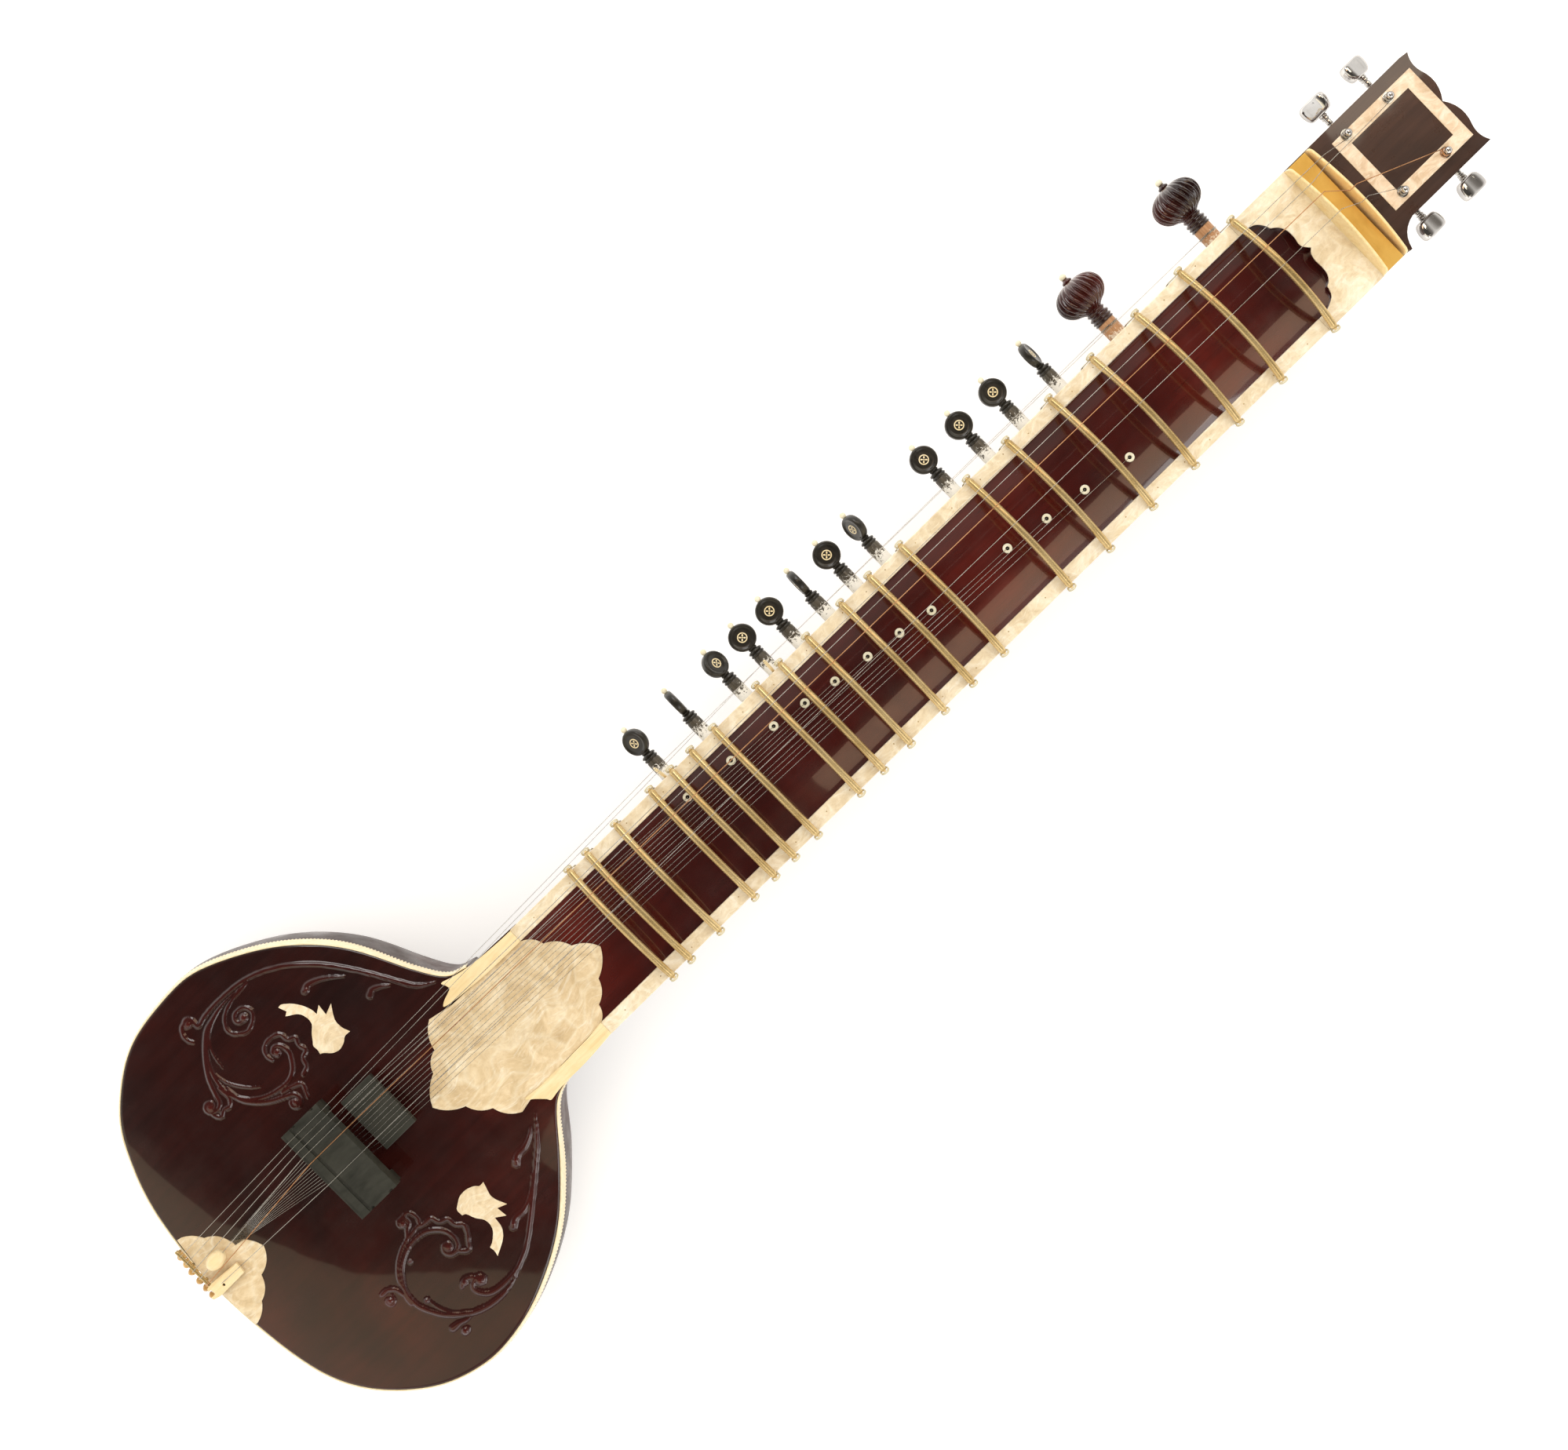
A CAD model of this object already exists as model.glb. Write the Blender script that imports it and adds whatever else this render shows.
"""Looks for a sitar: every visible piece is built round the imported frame.

The sitar lies on its bowl just above the floor, strings up (+Z). +Y runs from the tail to the
head and the long pegs stand out towards -X. Lengths are in mm until a mesh is made in metres;
"left" means -X and "right" means +X.
"""
import bpy
import math
import numpy as np
from mathutils import Matrix, Vector, geometry

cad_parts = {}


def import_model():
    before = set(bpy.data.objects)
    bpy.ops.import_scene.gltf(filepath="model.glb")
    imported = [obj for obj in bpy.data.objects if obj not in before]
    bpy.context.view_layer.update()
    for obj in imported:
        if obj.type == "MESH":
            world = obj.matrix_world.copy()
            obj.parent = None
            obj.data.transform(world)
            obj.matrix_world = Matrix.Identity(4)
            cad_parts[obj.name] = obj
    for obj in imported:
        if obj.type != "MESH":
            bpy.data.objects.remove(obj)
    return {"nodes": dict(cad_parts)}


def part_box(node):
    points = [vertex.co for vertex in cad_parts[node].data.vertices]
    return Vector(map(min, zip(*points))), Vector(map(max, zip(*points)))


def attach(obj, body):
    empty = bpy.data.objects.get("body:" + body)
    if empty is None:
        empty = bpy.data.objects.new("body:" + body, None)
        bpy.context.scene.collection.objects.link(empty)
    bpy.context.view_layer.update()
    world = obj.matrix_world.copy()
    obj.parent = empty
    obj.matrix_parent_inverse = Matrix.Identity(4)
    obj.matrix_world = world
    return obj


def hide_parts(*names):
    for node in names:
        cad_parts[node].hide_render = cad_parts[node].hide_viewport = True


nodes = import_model()["nodes"]
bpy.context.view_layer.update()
rng = np.random.default_rng(7)
MM = 0.001


def box_mm(name):
    return [np.array(corner) * 1000 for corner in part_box(name)]


# ---------------------------------------------------------------- driving sizes (mm)
RAIL_TOP = box_mm("fret_rails")[1][2]
BOARD_TOP = RAIL_TOP - 8                # flat middle of the soundboard and of the neck cover
NECK_HALF = box_mm("neck_trough")[1][0]
COVER_HALF = NECK_HALF - 9.4
TROUGH_TOP = RAIL_TOP - 7
NECK_LOW = box_mm("neck_trough")[0][2]
SECTION_MID = RAIL_TOP - 26             # level where the neck starts to round under
PEG_Z = RAIL_TOP - 22
WORM_Z = RAIL_TOP - 16 - 6.5
NECK_Y = box_mm("neck_trough")[0][1]
PLATE_Y = box_mm("fret_rails")[1][1]
NUT_Y = box_mm("name_plate")[0][1] - 5.2
GUIDE_Y = box_mm("name_plate")[1][1] + 0.1
NUT_TOP = RAIL_TOP + 16
GUIDE_TOP = RAIL_TOP + 10
SAG = 5.5 / COVER_HALF ** 2             # the cover rises 5.5 at its edges
FRET_HALF = NECK_HALF + 2.6
FRET_RISE = 10.8
FRET_RADIUS = (FRET_HALF ** 2 + FRET_RISE ** 2) / (2 * FRET_RISE)
FRET_CENTRE_Z = RAIL_TOP + 1.5 + FRET_RISE - FRET_RADIUS
BODY_CENTRE = np.array([-13.0, 0.0])
FLAT_PART = 0.42                        # share of the board, from its centre, that is flat
LARGE_PEG_Y = [703, 786.9]
SIDE_PIN_Y = [309.5, 402.6]
SIDE_PIN_TIP = (-53.0, RAIL_TOP + 9)    # x, z
# tuner posts: x, y, side their buttons are on
POSTS = [(-33.8, 881.7, -1), (-32.2, 915.8, -1), (15.2, 882.6, 1), (16.4, 918.1, 1)]


# ---------------------------------------------------------------- curves
def rows(text):
    """Table written as 'a b, c d': a comma ends each row."""
    return np.array([row.split() for row in text.split(",")], float)


def cover_z(x):
    return BOARD_TOP + SAG * x * x


def ease(t):
    u = np.clip(t, 0, 1)
    return u * u * (3 - 2 * u)


def signed_power(value, exponent):
    return math.copysign(abs(value) ** exponent, value)


def spline(points, steps):
    """Catmull-Rom curve through the points."""
    P = np.array(points, float)
    padded = np.vstack([2 * P[0] - P[1], P, 2 * P[-1] - P[-2]])
    curve = []
    for k in range(len(P) - 1):
        p, q, r, s = padded[k:k + 4]
        for j in range(steps):
            t = j / steps
            curve.append(0.5 * (2 * q + (r - p) * t + (2 * p - 5 * q + 4 * r - s) * t * t
                                + (3 * q - p - 3 * r + s) * t ** 3))
    curve.append(P[-1])
    return np.array(curve)


def resample(points, count):
    along = np.r_[0, np.cumsum(np.linalg.norm(np.diff(points, axis=0), axis=1))]
    t = np.linspace(0, along[-1], count)
    return np.stack([np.interp(t, along, column) for column in points.T], 1)


def subdivide(points, spacing):
    """Open path with extra points on its long spans."""
    path = []
    for a, b in zip(points[:-1], points[1:]):
        a, b = np.array(a, float), np.array(b, float)
        k = max(1, int(np.linalg.norm(b - a) / spacing))
        path += [a + (b - a) * i / k for i in range(k)]
    path.append(np.array(points[-1], float))
    return path


def bezier(start, corner, end, steps):
    return [(1 - t) ** 2 * start + 2 * t * (1 - t) * corner + t * t * end for t in steps]


def circle(x, y, radius, count):
    return [(x + radius * math.cos(t), y + radius * math.sin(t))
            for t in np.arange(count) * 2 * math.pi / count]


def lobes(stations, steps=10):
    """Arcs between stations (x, y, bulge to the right of travel); the last point is left out."""
    path = []
    for start, end in zip(stations[:-1], stations[1:]):
        p, d = start[:2], end[:2] - start[:2]
        side = np.array([d[1], -d[0]]) / np.linalg.norm(d)
        path += [p + d * t + side * (4 * start[2] * t * (1 - t))
                 for t in np.arange(steps) / steps]
    return path


def normals(outline):
    """Outward normals of the body outline."""
    tangent = np.gradient(outline, axis=0)
    tangent /= np.linalg.norm(tangent, axis=1)[:, None]
    return np.stack([tangent[:, 1], -tangent[:, 0]], 1)


# body edge from the left of the neck, round the tail, to the right of the neck: x y
EDGE = rows("""-47.5 140, -52.5 127.5, -70.6 115.3, -108.9 94.3, -140 63.2, -162.5 20,
    -164.6 -5.3, -158 -44.3, -136 -75.4, -114.6 -91, -72.3 -106.5, -12 -112.5, 57.7 -106.5,
    96.6 -91, 126.3 -59.9, 138 -28.7, 138.4 -5.3, 130.7 25.8, 110.9 63.4, 82.6 94.1, 53.2 121,
    45.5 140""")


def body_outline(count=700, reach=21):
    """The edge, evenly spaced and smoothed except near the neck."""
    outline = resample(spline(EDGE, 24), count)
    kernel = np.exp(-0.5 * (np.arange(-reach, reach + 1) / 7.0) ** 2)
    kernel /= kernel.sum()
    padded = np.vstack([np.repeat(outline[:1], reach, 0), outline,
                        np.repeat(outline[-1:], reach, 0)])
    smooth = np.stack([np.convolve(padded[:, k], kernel, "valid") for k in range(2)], 1)
    from_end = np.minimum(np.arange(count), np.arange(count)[::-1])
    blend = np.clip((from_end - 26) / 26, 0, 1)[:, None]
    outline = outline * (1 - blend) + smooth * blend
    return BODY_CENTRE + (outline - BODY_CENTRE) * 0.9985


OUTLINE = body_outline()
OUTLINE_Y = OUTLINE[:, 1]
NORMALS = normals(OUTLINE)


def rim_z(y):
    """Level of the board's edge: 7 low round the body, rising to the neck."""
    return BOARD_TOP - 7 * (1 - ease((y - 80) / 50))


def board_z(edge_y, share):
    """Board level at a share of the way from the centre to the edge point at edge_y."""
    fall = np.maximum(0, (share - FLAT_PART) / (1 - FLAT_PART)) ** 2
    return BOARD_TOP - (BOARD_TOP - rim_z(edge_y)) * fall


def board_height(x, y):
    """Level of the uncarved soundboard at (x, y)."""
    dx, dy = x - BODY_CENTRE[0], y - BODY_CENTRE[1]
    angle = np.arctan2(dy, dx)
    edge = OUTLINE - BODY_CENTRE
    edge_angle = np.arctan2(edge[:, 1], edge[:, 0])
    order = np.argsort(edge_angle)

    def at_edge(values):
        return np.interp(angle, edge_angle[order], values[order], period=2 * math.pi)
    share = np.hypot(dx, dy) / at_edge(np.hypot(edge[:, 0], edge[:, 1]))
    return board_z(at_edge(OUTLINE_Y), np.minimum(share, 1))


# ---------------------------------------------------------------- mesh helpers
def add_mesh(name, verts, faces, mats, slot, body="root", replaces=None, face_mats=None,
             sharp=None):
    """Mesh object from mm; edges over `sharp` degrees are shaded hard."""
    mesh = bpy.data.meshes.new(name)
    mesh.from_pydata((np.asarray(verts, float) * MM).tolist(), [],
                     [tuple(int(i) for i in face) for face in faces])
    mesh.validate()
    for mat in mats:
        mesh.materials.append(mat)
    mesh.polygons.foreach_set("use_smooth", [True] * len(mesh.polygons))
    if face_mats is not None:
        mesh.polygons.foreach_set("material_index", face_mats)
    mesh.update()
    ob = bpy.data.objects.new(name, mesh)
    bpy.context.scene.collection.objects.link(ob)
    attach(ob, body)
    if replaces:
        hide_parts(replaces)
    if sharp:
        mesh.set_sharp_from_angle(angle=math.radians(sharp))
    return ob


def ring_faces(count, size, closed=True, flip=False):
    """Quads between `count` successive rings of `size` points."""
    faces = []
    for j in range(count - 1):
        for i in range(size if closed else size - 1):
            a, b = j * size + i, j * size + (i + 1) % size
            faces.append((a, a + size, b + size, b) if flip else (a, b, b + size, a + size))
    return faces


def loft(count, size, start=True, end=True):
    """Closed rings joined, with caps."""
    faces = ring_faces(count, size)
    if start:
        faces.append(tuple(range(size - 1, -1, -1)))
    if end:
        faces.append(tuple((count - 1) * size + i for i in range(size)))
    return faces


def move(x, y, z):
    return Matrix.Translation((x, y, z))


def turn(degrees, axis):
    return Matrix.Rotation(math.radians(degrees), 4, axis)


def placed(verts, frame):
    return verts @ np.array(frame.to_3x3()).T + np.array(frame.translation)


class Parts:
    """Collects several surfaces into one mesh."""
    def __init__(self):
        self.verts, self.faces, self.face_mats, self.count = [], [], [], 0

    def add(self, verts, faces, mat=0):
        self.verts.append(np.asarray(verts, float))
        self.faces += [tuple(i + self.count for i in face) for face in faces]
        self.face_mats += [mat] * len(faces)
        self.count += len(verts)

    def revolve(self, profile, segments, frame, mat=0, shape=None):
        """Turns (radius, height) rows about the frame's +Z; shape may vary the radius."""
        t = np.arange(segments) * 2 * math.pi / segments
        verts = []
        for radius, height in profile:
            r = shape(radius, height, t) if shape else radius
            verts.append(np.stack([r * np.cos(t), r * np.sin(t), np.full(segments, height)], 1))
        faces = loft(len(profile), segments, profile[0][0] > 1e-6, profile[-1][0] > 1e-6)
        self.add(placed(np.vstack(verts), frame), faces, mat)

    def tube(self, path, radius, sides, mat=0, cap=True, up=(0, 0, 1)):
        path = np.asarray(path, float)
        tangents = np.gradient(path, axis=0)
        tangents /= np.linalg.norm(tangents, axis=1)[:, None] + 1e-12
        angle = np.arange(sides) * 2 * math.pi / sides
        verts = []
        across = None
        for point, along, r in zip(path, tangents, np.broadcast_to(radius, len(path))):
            across = np.cross(along, up) if across is None else across - along * across.dot(along)
            across /= np.linalg.norm(across)
            other = np.cross(along, across)
            verts.append(point + r * (np.cos(angle)[:, None] * across
                                      + np.sin(angle)[:, None] * other))
        self.add(np.vstack(verts), loft(len(path), sides, cap, cap), mat)

    def done(self, name, mats, slot, **options):
        return add_mesh(name, np.vstack(self.verts), self.faces, mats, slot,
                        face_mats=self.face_mats, **options)


def inside(points, outline):
    x, y = points[:, 0], points[:, 1]
    result = np.zeros(len(points), bool)
    for (x0, y0), (x1, y1) in zip(outline, np.roll(outline, -1, 0)):
        result ^= ((y0 > y) != (y1 > y)) & (x < (x1 - x0) * (y - y0) / (y1 - y0 + 1e-12) + x0)
    return result


def edge_distance(points, outline):
    best = np.full(len(points), 1e9)
    for start, end in zip(outline, np.roll(outline, -1, 0)):
        d = end - start
        t = np.clip(((points - start) @ d) / (d @ d + 1e-12), 0, 1)
        best = np.minimum(best, np.linalg.norm(points - (start + t[:, None] * d), axis=1))
    return best


def plate(name, outline, height, mat, slot, thick=0, step=2.0, holes=(), lip=0.3, drop=None,
          replaces=None):
    """Thin plate over height(x, y), with a softened lip and a skirt.

    The skirt goes down by `thick`, or to drop(x, y) where that is given.
    """
    outline = np.asarray(outline, float)
    holes = [np.asarray(hole, float) for hole in holes]
    low, high = outline.min(0), outline.max(0)
    grid_x, grid_y = np.meshgrid(np.arange(low[0], high[0], step),
                                 np.arange(low[1], high[1], step))
    grid = np.stack([grid_x.ravel(), grid_y.ravel()], 1)
    grid = grid[inside(grid, outline)]
    grid = grid[edge_distance(grid, outline) > max(lip * 1.6, step * 0.45)]
    for hole in holes:
        grid = grid[~inside(grid, hole)]
        grid = grid[edge_distance(grid, hole) > step * 0.45]
    if lip:
        # an inner copy of the outline holds the lip
        before, after = np.roll(outline, 1, 0), np.roll(outline, -1, 0)
        tangent = after - before
        tangent /= np.linalg.norm(tangent, axis=1)[:, None] + 1e-9
        outward = np.stack([tangent[:, 1], -tangent[:, 0]], 1)
        area = np.sum(outline[:, 0] * after[:, 1] - after[:, 0] * outline[:, 1])
        inner = outline - outward * lip * (1 if area > 0 else -1)
        grid = np.vstack([grid, inner[edge_distance(inner, outline) > lip * 0.6]])
    points, edges = [], []
    for loop in [outline, *holes]:
        first = len(points)
        points += [Vector(p) for p in loop]
        edges += [(first + i, first + (i + 1) % len(loop)) for i in range(len(loop))]
    border = len(points)
    points += [Vector(p) for p in grid]
    flat, _, triangles, origins, _, _ = geometry.delaunay_2d_cdt(points, edges, [], 0, 1e-5)
    flat = np.array([tuple(v) for v in flat])
    faces = np.array([face for face in triangles if len(face) == 3])
    centres = flat[faces].mean(1)
    keep = inside(centres, outline)
    for hole in holes:
        keep &= ~inside(centres, hole)
    faces = faces[keep]
    on_border = np.array([any(i < border for i in origin) for origin in origins])
    z = height(flat[:, 0], flat[:, 1]) - np.where(on_border, lip * 0.55, 0)
    verts = np.column_stack([flat, z])
    a, b, c = (verts[faces[:, k]] for k in range(3))
    down = np.cross(b - a, c - a)[:, 2] < 0
    faces[down] = faces[down][:, ::-1]
    # a skirt hangs from every edge that has one face only; the dict keeps their order
    used = dict.fromkeys((int(f[i]), int(f[(i + 1) % 3])) for f in faces for i in range(3))
    rim = [edge for edge in used if (edge[1], edge[0]) not in used]
    index = sorted({i for edge in rim for i in edge})
    lower = {i: len(verts) + j for j, i in enumerate(index)}
    foot = z[index] - thick if drop is None else drop(flat[index, 0], flat[index, 1])
    foot = foot + np.zeros(len(index))
    verts = np.vstack([verts, np.column_stack([flat[index], foot])])
    faces = [tuple(face) for face in faces] + [(b, a, lower[a], lower[b]) for a, b in rim]
    add_mesh(name, verts, faces, [mat], slot, replaces=replaces, sharp=60)


# ---------------------------------------------------------------- material helpers
def linear(code):
    """Linear RGBA of a hex colour."""
    channels = [int(code[i:i + 2], 16) / 255 for i in (1, 3, 5)]
    return [c / 12.92 if c <= 0.04045 else ((c + 0.055) / 1.055) ** 2.4 for c in channels] + [1]


class Nodes:
    """Adds nodes to a tree; an input takes a socket or a constant."""
    def __init__(self, tree):
        self.tree = tree

    def feed(self, socket, value):
        if hasattr(value, "is_output"):
            self.tree.links.new(value, socket)
        else:
            socket.default_value = value

    def new(self, kind, inputs={}, **settings):
        node = self.tree.nodes.new("ShaderNode" + kind)
        for key, value in settings.items():
            setattr(node, key, value)
        for key, value in inputs.items():
            self.feed(node.inputs[key], value)
        return node

    def math(self, operation, a, b, clamp=False):
        return self.new("Math", {0: a, 1: b}, operation=operation, use_clamp=clamp).outputs[0]


class Shader(Nodes):
    """A material with one Principled shader, in object coordinates (metres)."""
    def __init__(self, name):
        self.material = bpy.data.materials.new(name)
        self.material.use_nodes = True
        super().__init__(self.material.node_tree)
        self.tree.nodes.clear()
        output = self.new("OutputMaterial")
        self.principled = self.new("BsdfPrincipled")
        self.feed(output.inputs[0], self.principled.outputs[0])
        self.coords = self.new("TexCoord").outputs["Object"]

    def mapped(self, scale, spin=0, source=None):
        """Coordinates scaled, and turned by spin radians about Z."""
        scale = scale if hasattr(scale, "__len__") else (scale, scale, scale)
        return self.new("Mapping", {"Vector": source or self.coords, "Scale": scale,
                                    "Rotation": (0, 0, spin)}).outputs[0]

    def noise(self, scale, detail=3, rough=0.5, warp=0.0, output=0, **mapping):
        return self.new("TexNoise", {
            "Vector": self.mapped(scale, **mapping), "Scale": 1, "Detail": detail,
            "Roughness": rough, "Distortion": warp}).outputs[output]

    def ramp(self, value, stops):
        """Colour ramp; stops are (position, hex colour or grey)."""
        node = self.new("ValToRGB", {0: value})
        elements = node.color_ramp.elements
        while len(elements) < len(stops):
            elements.new(0.5)
        for element, (position, tone) in zip(elements, stops):
            element.position = position
            element.color = linear(tone) if isinstance(tone, str) else [tone, tone, tone, 1]
        return node.outputs[0]

    def mix(self, share, a, b, blend="MIX"):
        return self.new("Mix", {0: share, 6: a, 7: b}, data_type="RGBA",
                        blend_type=blend).outputs[2]

    def bump(self, height, strength, distance, **normal):
        return self.new("Bump", {"Strength": strength, "Distance": distance,
                                 "Height": height, **normal}).outputs[0]

    def finish(self, **inputs):
        for key, value in inputs.items():
            self.feed(self.principled.inputs[key.replace("_", " ")], value)
        return self.material


def redden_carving(mat, colour):
    """Redder where the board's `carve` attribute is high."""
    relief = mat.new("Attribute", attribute_name="carve").outputs["Fac"]
    return mat.mix(mat.math("MULTIPLY", relief, 0.14, clamp=True), colour, linear("#6e1a12"))


def darken_rim(mat, colour):
    """Darker where the surface turns away."""
    facing = mat.new("LayerWeight", {"Blend": 0.5}).outputs["Facing"]
    return mat.mix(mat.math("POWER", facing, 1.6), colour, linear("#4a3a2c"))


def lacquer(name, dark, mid, light, grain=(220, 10, 220), rough=0.22, coat=1.0, wave=0.25,
            recolour=None, **extra):
    """Lacquered wood: clouded colour, grain, pores, a wavy coat and specks of dust."""
    mat = Shader(name)
    clouds = mat.noise(9, rough=0.55, warp=0.6)
    colour = mat.ramp(clouds, [(0.3, dark), (0.52, mid), (0.74, light)])
    lines = mat.noise(grain, detail=5, rough=0.6, warp=0.2)
    colour = mat.mix(0.55, colour, mat.ramp(lines, [(0.35, 0.55), (0.6, 1.0)]), "MULTIPLY")
    pores = mat.noise((grain[0] * 6, grain[1] * 9, grain[2] * 6), detail=2)
    colour = mat.mix(0.35, colour, mat.ramp(pores, [(0.30, 0.5), (0.38, 1.0)]), "MULTIPLY")
    ripple = mat.noise(26, detail=2, warp=0.3)
    dust = mat.ramp(mat.noise(900, detail=1), [(0.80, 0.0), (0.86, 1.0)])
    waves = mat.bump(ripple, strength=wave, distance=0.0009)
    dusty = mat.bump(dust, strength=0.15, distance=0.0002, Normal=waves)
    smears = mat.noise(60, detail=4, rough=0.6)
    roughness = mat.ramp(smears, [(0.35, rough * 0.7), (0.75, rough * 1.5)])
    if recolour:
        colour = recolour(mat, colour)
    return mat.finish(**{**dict(
        Base_Color=colour, Roughness=roughness, Normal=dusty, Coat_Weight=coat,
        Coat_Roughness=0.035, Coat_IOR=1.5, Coat_Normal=waves, Specular_IOR_Level=0.4), **extra})


def pearl(name, dark="#d6bf96", mid="#e6d0a8", light="#f5e4c2", density=1.0):
    """Shell laminate: warped cells with pale seams, swirls, streaks and fine mottling."""
    mat = Shader(name)

    def dense(*axes):
        return [axis * density for axis in axes]
    drift = mat.noise(22 * density, detail=2, warp=0.6, output=1)
    source = mat.new("VectorMath", {0: drift, 1: (0.022, 0.022, 0.022), 2: mat.coords},
                     operation="MULTIPLY_ADD").outputs[0]
    seams, cells = [
        mat.new("TexVoronoi", {"Vector": mat.mapped(dense(78, 46, 60), 0.7, source), "Scale": 1},
                feature=feature).outputs[output]
        for feature, output in (("DISTANCE_TO_EDGE", "Distance"), ("F1", "Color"))]
    crease = mat.ramp(seams, [(0.0, 1.0), (0.05, 0.35), (0.22, 0.0)])
    swirl = mat.noise(60 * density, detail=4, rough=0.6, warp=1.2, source=source)
    colour = mat.ramp(swirl, [(0.30, dark), (0.5, mid), (0.68, light)])
    cell = mat.new("SeparateColor", {0: cells})
    tint = mat.ramp(cell.outputs[0], [(0.0, "#dfccaa"), (0.5, "#f2e6d0"), (1.0, "#fff6e6")])
    colour = mat.mix(0.42, colour, tint, "MULTIPLY")
    pale = mat.ramp(seams, [(0.0, "#ffedcf"), (0.03, "#e8d3ac"), (0.11, "#000000")])
    colour = mat.mix(0.24, colour, pale, "SCREEN")
    streak = mat.noise(dense(300, 42, 80), detail=4, rough=0.6, warp=1.6, spin=0.9, source=source)
    streak = mat.ramp(streak, [(0.56, "#000000"), (0.66, "#fff2d8")])
    colour = mat.mix(0.34, colour, streak, "SCREEN")
    fine = mat.noise(dense(420, 260, 300), rough=0.6, warp=0.8, source=source)
    fine = mat.ramp(fine, [(0.35, "#b79f78"), (0.6, "#ffffff")])
    colour = mat.mix(0.16, colour, fine, "MULTIPLY")
    creases = mat.math("MULTIPLY", crease, 0.5)
    steps = mat.math("MULTIPLY", cell.outputs[1], 0.35)
    height = mat.math("ADD", creases, mat.math("ADD", swirl, steps))
    return mat.finish(
        Base_Color=colour, Roughness=mat.ramp(swirl, [(0.3, 0.42), (0.7, 0.26)]),
        Normal=mat.bump(height, strength=0.25, distance=0.0006), Coat_Weight=0.6,
        Coat_Roughness=0.06, Sheen_Weight=0.1, Specular_IOR_Level=0.5)


def bone(name, dark="#d9b97c", mid="#f1d8a0", light="#fbe9c2", grain=(900, 60, 900), rough=0.3):
    mat = Shader(name)
    lines = mat.noise(grain, detail=4, rough=0.6, warp=0.4)
    clouds = mat.noise(70, warp=0.5)
    colour = mat.mix(0.5, mat.ramp(lines, [(0.3, dark), (0.5, mid), (0.7, light)]),
                     mat.ramp(clouds, [(0.3, mid), (0.7, light)]))
    return mat.finish(
        Base_Color=colour, Roughness=rough,
        Normal=mat.bump(lines, strength=0.12, distance=0.0002), Subsurface_Weight=0.12,
        Subsurface_Radius=(0.004, 0.003, 0.002), Coat_Weight=0.25, Coat_Roughness=0.12,
        Subsurface_Scale=0.5)


def metal(name, base, dark, rough, brushed, relief, metallic=1.0, recolour=None):
    mat = Shader(name)
    brush = mat.noise(brushed, detail=5, rough=0.65)
    tarnish = mat.noise(45, detail=4, rough=0.6, warp=0.5)
    colour = mat.ramp(tarnish, [(0.3, dark), (0.6, base)])
    roughness = mat.ramp(brush, [(0.3, rough * 0.65), (0.75, rough * 1.6)])
    if recolour:
        colour = recolour(mat, colour)
    return mat.finish(Base_Color=colour, Metallic=metallic, Roughness=roughness,
                      Normal=mat.bump(brush, strength=relief, distance=0.0002))


def plain(name, dark, light, rough, grain, relief, coat=0.0):
    mat = Shader(name)
    lines = mat.noise(grain, detail=6, rough=0.62, warp=0.3)
    clouds = mat.noise(40)
    colour = mat.mix(0.5, *[mat.ramp(n, [(0.3, dark), (0.7, light)]) for n in (lines, clouds)])
    return mat.finish(
        Base_Color=colour, Roughness=mat.ramp(lines, [(0.3, rough * 0.8), (0.7, rough * 1.2)]),
        Normal=mat.bump(lines, strength=relief, distance=0.0003), Coat_Weight=coat,
        Coat_Roughness=0.1)


def neck_material():
    """Dark wood under the neck, pale laminate on its sides."""
    mat = Shader("neck_sides")
    z = mat.new("SeparateXYZ", {0: mat.coords}).outputs[2]
    waves = mat.noise(34, rough=0.55, warp=0.4)
    swirl = mat.noise(110, detail=5, rough=0.62, warp=2.2)
    pale = mat.ramp(swirl, [(0.30, "#b8a88c"), (0.47, "#ddd0b6"), (0.62, "#f1e8d4")])
    lines = mat.noise((160, 8, 160), detail=5, rough=0.6, warp=0.2)
    dark = mat.ramp(lines, [(0.3, "#2a0b09"), (0.7, "#4f1710")])
    above = mat.math("GREATER_THAN", z, (NECK_LOW + 24) * MM)
    return mat.finish(Base_Color=mat.mix(above, dark, pale), Roughness=0.22,
                      Normal=mat.bump(waves, strength=0.12, distance=0.0006),
                      Coat_Weight=0.8, Coat_Roughness=0.06)


def shaft_material(name, dark, light, chalk, start, end):
    """Peg shaft wood, worn and chalked from x = start to x = end (mm) and on to the neck."""
    mat = Shader(name)
    lines = mat.noise((60, 900, 900), detail=5, rough=0.6, warp=0.3)
    colour = mat.ramp(lines, [(0.3, dark), (0.7, light)])
    x = mat.new("SeparateXYZ", {0: mat.coords}).outputs[0]
    along = mat.new("MapRange", {0: x, 1: start * MM, 2: end * MM}).outputs[0]
    patches = mat.noise(520, detail=6, rough=0.7, warp=0.6)
    ragged = mat.math("MULTIPLY", mat.math("SUBTRACT", patches, 0.5), 2.6)
    worn = mat.ramp(mat.math("ADD", along, ragged), [(0.45, 0.0), (0.62, 1.0)])
    colour = mat.mix(worn, colour, linear(chalk))
    roughness = mat.mix(worn, (0.38, 0.38, 0.38, 1), (0.9, 0.9, 0.9, 1))
    return mat.finish(Base_Color=colour, Roughness=roughness,
                      Normal=mat.bump(patches, strength=0.3, distance=0.0003))


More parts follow.
